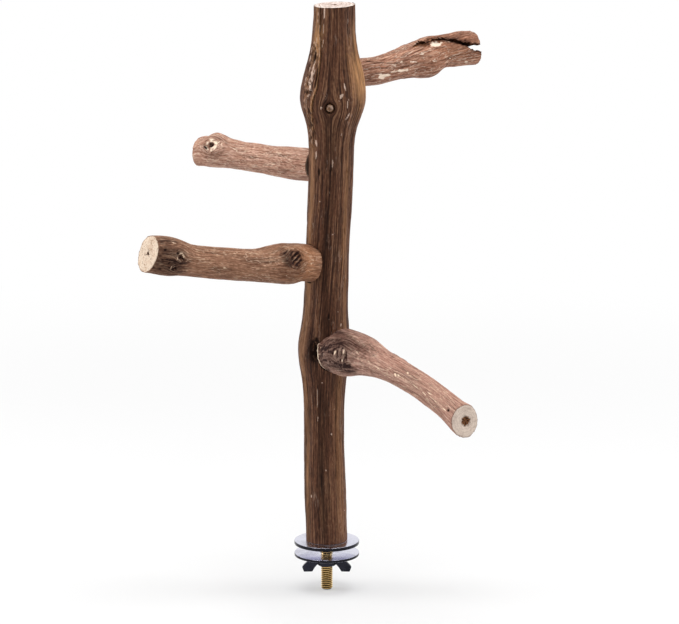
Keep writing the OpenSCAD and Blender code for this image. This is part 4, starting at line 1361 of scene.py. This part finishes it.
branches = {}
for name, look in looks.items():
    skin = makeSkin(name + "_skin", look)
    sawn = makeSawnEnd(name + "_sawn", {**look, "pith": pithTone})
    branches[name] = makeBranch(name, look, skin, sawn)
print("branches turned and sawn")


# Ragged wedge that parts the forked arm's end into two prongs, wider than the arm on both sides.
def makeWedge(look, root, halfWidth=22, cuts=60):
    start, stop = look["split"][0][0], look["split"][-1][0]
    wedge = add(bpy.ops.mesh.primitive_cube_add, size=1, location=((start + stop) / 2, 0, 0))
    wedge.scale = (stop - start, 2 * halfWidth, 1)
    applyPlace(wedge)
    startEdit(wedge)
    bpy.ops.mesh.subdivide(number_cuts=cuts)
    endEdit()
    points = pointsOf(wedge)
    x, y, z = points.T
    nearest, opensAt, openBy = look["splitBack"]
    back = nearest + (halfWidth - nearest) * ramp(x, opensAt, openBy)
    y = -halfWidth + (y + halfWidth) * (back + halfWidth) / (2 * halfWidth)
    middle, half = splitAt(x, y, look)
    opened = ramp(x, start, start + 5)
    lips = noiseAt(np.stack([x, 0.35 * y, 0 * x + 9], axis=1), 1.5, 1, look["seed"] + 1)
    lower = -2.0 * np.clip(lips + 0.1, -0.05, 0.5) * opened
    upper = 0.9 * lips * opened
    points[:, 1] = y
    points[:, 2] = middle + np.sign(z) * half + np.where(z > 0, upper, lower)
    movePoints(wedge, points)
    faceOutwards(wedge)
    wedge.matrix_world = framePlace(root["centre"], -root["normal"])
    applyPlace(wedge)
    return wedge


trunk = branches["trunk"][0]
forked = branches["forked_arm"]
wedge = makeWedge(forkedLook, forked[3])
paint(wedge, list(forked[0].data.materials), 1)
cutWith(forked[0], wedge)


def drillInto(bar, drill):
    paint(drill, list(bar.data.materials), 0)
    cutWith(bar, drill)


# Seats for the arms in the trunk, and bores for the screws in both.
seats = []
for name in armNames:
    arm, _, saws, root = branches[name]
    outward = -root["normal"]
    seatRadius = float(np.median(saws[0]["reach"])) + seatSizes["clearance"]
    boreRadius = screwSizes["radius"] + screwSizes["boreGap"]
    drillInto(trunk, makeDrill(root["centre"], outward, seatRadius, boreRadius, screwSizes["inTrunk"]))
    drillInto(arm, makeDrill(root["centre"], -outward, seatSizes["facing"], boreRadius,
                             screwSizes["inArm"]))
    seats.append((root["centre"], outward, seatRadius))
    print("   seated", name, "seat radius", round(seatRadius, 2))


# Slice a rod off at a height and close it, and go on in edit mode with the new face selected.
def sliceOff(rod, height, direction):
    startEdit(rod)
    bpy.ops.mesh.bisect(plane_co=(0, 0, height), plane_no=(0, 0, direction), use_fill=True,
                        clear_outer=True, threshold=0.0001)


# Rod with a screw thread: one turn's outline is drawn point by point, then screwed up the axis.
def makeThread(core, crest, pitch, low, high, outline, steps=40):
    rod = add(bpy.ops.mesh.primitive_plane_add, size=0.1, location=(core, 0, low - 1.5 * pitch))
    applyPlace(rod)
    startEdit(rod)
    bpy.ops.mesh.merge(type="CENTER")
    for outwards, upwards in outline:
        bpy.ops.mesh.extrude_vertices_move(TRANSFORM_OT_translate={
            "value": (outwards * (crest - core), 0, upwards * pitch)})
    endEdit()
    turns = math.ceil((high - low) / pitch) + 3
    addModifier(rod, "SCREW", axis="Z", angle=2 * math.pi, screw_offset=pitch, iterations=turns,
                steps=steps, render_steps=steps, use_merge_vertices=True, merge_threshold=0.001)
    for height, direction in ((low, -1), (high, 1)):
        sliceOff(rod, height, direction)
        endEdit()
    startEdit(rod)
    bpy.ops.mesh.remove_doubles(threshold=0.0005)
    endEdit()
    faceOutwards(rod)
    return rod


# Draw a rod's ends in to points, or only its upper end where no low one is given.
def taperEnds(rod, low, high, length, tip=0.2):
    points = pointsOf(rod)
    z = points[:, 2]
    left = high - z if low is None else np.minimum(z - low, high - z)
    points[:, :2] *= (tip + (1 - tip) * np.clip(left / length, 0, 1))[:, None]
    movePoints(rod, points)


def makeCylinder(radius, low, high, sides=64, bevel=0.0):
    cylinder = add(bpy.ops.mesh.primitive_cylinder_add, vertices=sides, radius=radius,
                   depth=high - low, location=(0, 0, (low + high) / 2))
    applyPlace(cylinder)
    if bevel:
        bevelEdges(cylinder, bevel)
    return cylinder


# Outlines of a turn: steps outwards, as a share of the thread's height, and upwards, of its pitch.
machineThread = [(0, 0.11), (1, 0.31), (0, 0.16), (-1, 0.31), (0, 0.11)]
woodThread = [(0, 0.42), (1, 0.17), (0, 0.06), (-1, 0.17), (0, 0.18)]

# Hanger bolt: machine thread below, a plain collar, and a wood thread up in the trunk.
boltLook = {
    "radius": 3.0, "core": 2.42, "pitch": 1.0, "low": -24.0, "threadTop": 4.0, "collarTop": 9.0,
    "high": 34.0, "chamfer": 0.7, "woodCore": 2.1, "woodPitch": 2.4, "overlap": 0.5,
    "collarStep": 0.1, "taper": 5.0,
    "seed": 5, "clean": tone(250, 218, 154), "grime": tone(150, 106, 56), "scratchSize": 1.0,
    "smooth": 0.16, "rough": 0.42, "bump": 0.4,
    # the thread's roots are painted near-black as shade in the grooves
    "root": tone(34, 18, 9), "rootToCrest": (2.7, 2.98),
}


def makeHangerBolt(look):
    bolt = makeThread(look["core"], look["radius"], look["pitch"], look["low"], look["threadTop"],
                      machineThread, 48)
    margin = 0.3
    envelope = makeCylinder(look["radius"] + margin, look["low"], look["threadTop"] + 2, 64,
                            look["chamfer"] + margin)
    cutWith(bolt, envelope, "INTERSECT")
    collar = makeCylinder(look["radius"] - look["collarStep"], look["threadTop"] - look["overlap"],
                          look["collarTop"], 48, 0.3)
    upper = makeThread(look["woodCore"], look["radius"], look["woodPitch"],
                       look["collarTop"] - look["overlap"], look["high"], woodThread)
    taperEnds(upper, None, look["high"], look["taper"], 0.15)
    cutWith(bolt, collar, "UNION")
    cutWith(bolt, upper, "UNION")
    return bolt


# Double-ended screws that draw the arms onto the trunk.
screwLook = {"seed": 9, "clean": tone(206, 206, 210), "grime": tone(120, 112, 104),
             "scratchSize": 1.0, "smooth": 0.2, "rough": 0.5, "bump": 0.4}


def makeDowelScrew(sizes):
    low, high = -sizes["inTrunk"], sizes["inArm"]
    rod = makeThread(sizes["core"], sizes["radius"], sizes["pitch"], low, high, woodThread, 32)
    taperEnds(rod, low, high, sizes["point"])
    return rod


# Penny washers: a disc, inset and bridged round its hole, with a stamped rounded edge.
washerLook = {
    "radius": 16.5, "hole": 3.3, "edge": 0.24, "sides": 160, "edgeWidth": 0.35, "seed": 7,
    # body it moves with, underside and top
    "places": {"upper_washer": ("perch", 0.0, 1.8), "lower_washer": ("lower_washer", -6.0, -4.6)},
    "clean": tone(214, 214, 228), "grime": tone(174, 174, 186), "scratchSize": 0.55,
    "smooth": 0.10, "rough": 0.32, "bump": 0.35,
}
# near-black metal for the washer's side wall: painted shade and dark reflection there
edgeShadeLook = {"seed": 8, "clean": tone(40, 40, 46), "grime": tone(20, 20, 24), "scratchSize": 1.0,
            "smooth": 0.22, "rough": 0.5, "bump": 0.4}


def makeWasher(low, high, look):
    washer = makeCylinder(look["radius"], low, high, look["sides"])
    editFaces(washer, lambda normal: abs(normal.z) > 0.9)
    bpy.ops.mesh.inset(thickness=look["radius"] - look["hole"], use_individual=True)
    bpy.ops.mesh.bridge_edge_loops()
    endEdit()
    bevelEdges(washer, look["edge"], 4)
    faceOutwards(washer)
    return washer


# Wing nut: cast body with two wings, melted together, then faced flat and bored.
nutLook = {
    "top": -6.0, "bossHeight": 5.6, "bossBase": 5.45, "bossEnd": 4.4, "bore": 3.1,
    "thickness": 2.3, "rounding": 0.45, "voxel": 0.26, "smoothings": 5,
    "faced": 0.12, "seed": 13,
    # Place along X and Z, length and height of the block that the first wing grows from.
    "block": (2.7, -8.8, 1.0, 4.0),
    # Wing sections from the boss outwards: upper and lower corner of each.
    "wing": [((3.2, -6.7), (3.2, -11.0)), ((6.3, -6.8), (4.9, -11.2)), ((9.3, -9.0), (6.3, -13.0)),
             ((11.6, -11.2), (7.4, -14.9)), ((12.6, -12.5), (11.7, -15.0))],
    # near-black metal: a painted dark reflection on the plated nut
    "clean": tone(46, 47, 55), "grime": tone(15, 15, 19), "scratchSize": 0.8, "smooth": 0.14,
    "rough": 0.45, "bump": 0.6,
}


def placeCorners(obj, upper, lower):
    bpy.ops.object.mode_set(mode="OBJECT")
    corners = [v for v in obj.data.vertices if v.select]
    middle = sum(v.co.z for v in corners) / len(corners)
    for v in corners:
        v.co.x, v.co.z = upper if v.co.z > middle else lower
    bpy.ops.object.mode_set(mode="EDIT")


def makeWingNut(look):
    x, z, length, height = look["block"]
    nut = add(bpy.ops.mesh.primitive_cube_add, size=1, location=(x, 0, z))
    nut.scale = (length, look["thickness"], height)
    applyPlace(nut)
    editFaces(nut, lambda normal: normal.x > 0.9)
    for upper, lower in look["wing"]:
        bpy.ops.mesh.extrude_region_move(TRANSFORM_OT_translate={"value": (0.5, 0, 0)})
        placeCorners(nut, upper, lower)
    endEdit()
    bevelEdges(nut, look["rounding"], 2, 50)
    addModifier(nut, "MIRROR", use_axis=(True, False, False), use_clip=False,
                use_mirror_merge=False)
    alignFaces(nut)
    boss = add(bpy.ops.mesh.primitive_cone_add, vertices=96, radius1=look["bossEnd"],
               radius2=look["bossBase"], depth=look["bossHeight"],
               location=(0, 0, look["top"] - look["bossHeight"] / 2))
    applyPlace(boss)
    cutWith(nut, boss, "UNION")
    addModifier(nut, "REMESH", mode="VOXEL", voxel_size=look["voxel"])
    addModifier(nut, "SMOOTH", factor=0.5, iterations=look["smoothings"])
    sliceOff(nut, look["top"] - look["faced"], 1)
    bpy.ops.transform.translate(value=(0, 0, look["faced"]))
    endEdit()
    alignFaces(nut)
    cutWith(nut, makeCylinder(look["bore"], look["top"] - 14, look["top"] + 4))
    return nut


screwSteel = makeMetal("screw_steel_plain", screwLook)
yellowZinc = makeMetal("stud_yellow_zinc", boltLook)
brightPlate = makeMetal("washer_bright_plate", washerLook)
washerEdgeShade = makeMetal("washer_punched_edge", edgeShadeLook)
nutDarkReflection = makeMetal("wing_nut_dark_cast", nutLook)

bolt = makeHangerBolt(boltLook)
paint(bolt, [yellowZinc])
boltPoints = pointsOf(bolt)
boltRadius = np.hypot(boltPoints[:, 0], boltPoints[:, 1])
storeValues(bolt, "crest", ramp(boltRadius, *boltLook["rootToCrest"]))
finishPiece(bolt, "hanger_bolt_threaded", "perch", "hanger_bolt", 30)

for name, (body, low, high) in washerLook["places"].items():
    washer = makeWasher(low, high, washerLook)
    paint(washer, [brightPlate, washerEdgeShade])
    # the side wall and the steep part of the rounding get the near-black painted shade; the top of the
    # rounding stays bright
    for face in washer.data.polygons:
        away = math.hypot(face.center.x, face.center.y)
        if away > washerLook["radius"] - washerLook["edgeWidth"] and abs(face.normal.z) < 0.75:
            face.material_index = 1
    finishPiece(washer, name + "_plate", body, name, 30)

nut = makeWingNut(nutLook)
paint(nut, [nutDarkReflection])
finishPiece(nut, "wing_nut_cast", "wing_nut", "wing_nut", 40)

firstScrew = makeDowelScrew(screwSizes)
paint(firstScrew, [screwSteel])
for name in armNames:
    root = branches[name][3]
    makeActive(firstScrew)
    bpy.ops.object.duplicate()
    dowel = bpy.context.object
    turnTo = Vector(-root["normal"]).to_track_quat("Z", "Y")
    dowel.matrix_world = Matrix.Translation(Vector(root["centre"])) @ turnTo.to_matrix().to_4x4()
    applyPlace(dowel)
    node = name.replace("_arm", "_screw")
    finishPiece(dowel, node + "_dowel", "perch", node, 30)
bpy.data.objects.remove(firstScrew)
print("hardware made")

for name, look in looks.items():
    bar, spine, saws, root = branches[name]
    dressBranch(bar, spine, saws, root, look, seats if name == "trunk" else [])
    finishPiece(bar, name + "_branch", "perch", name, 40)
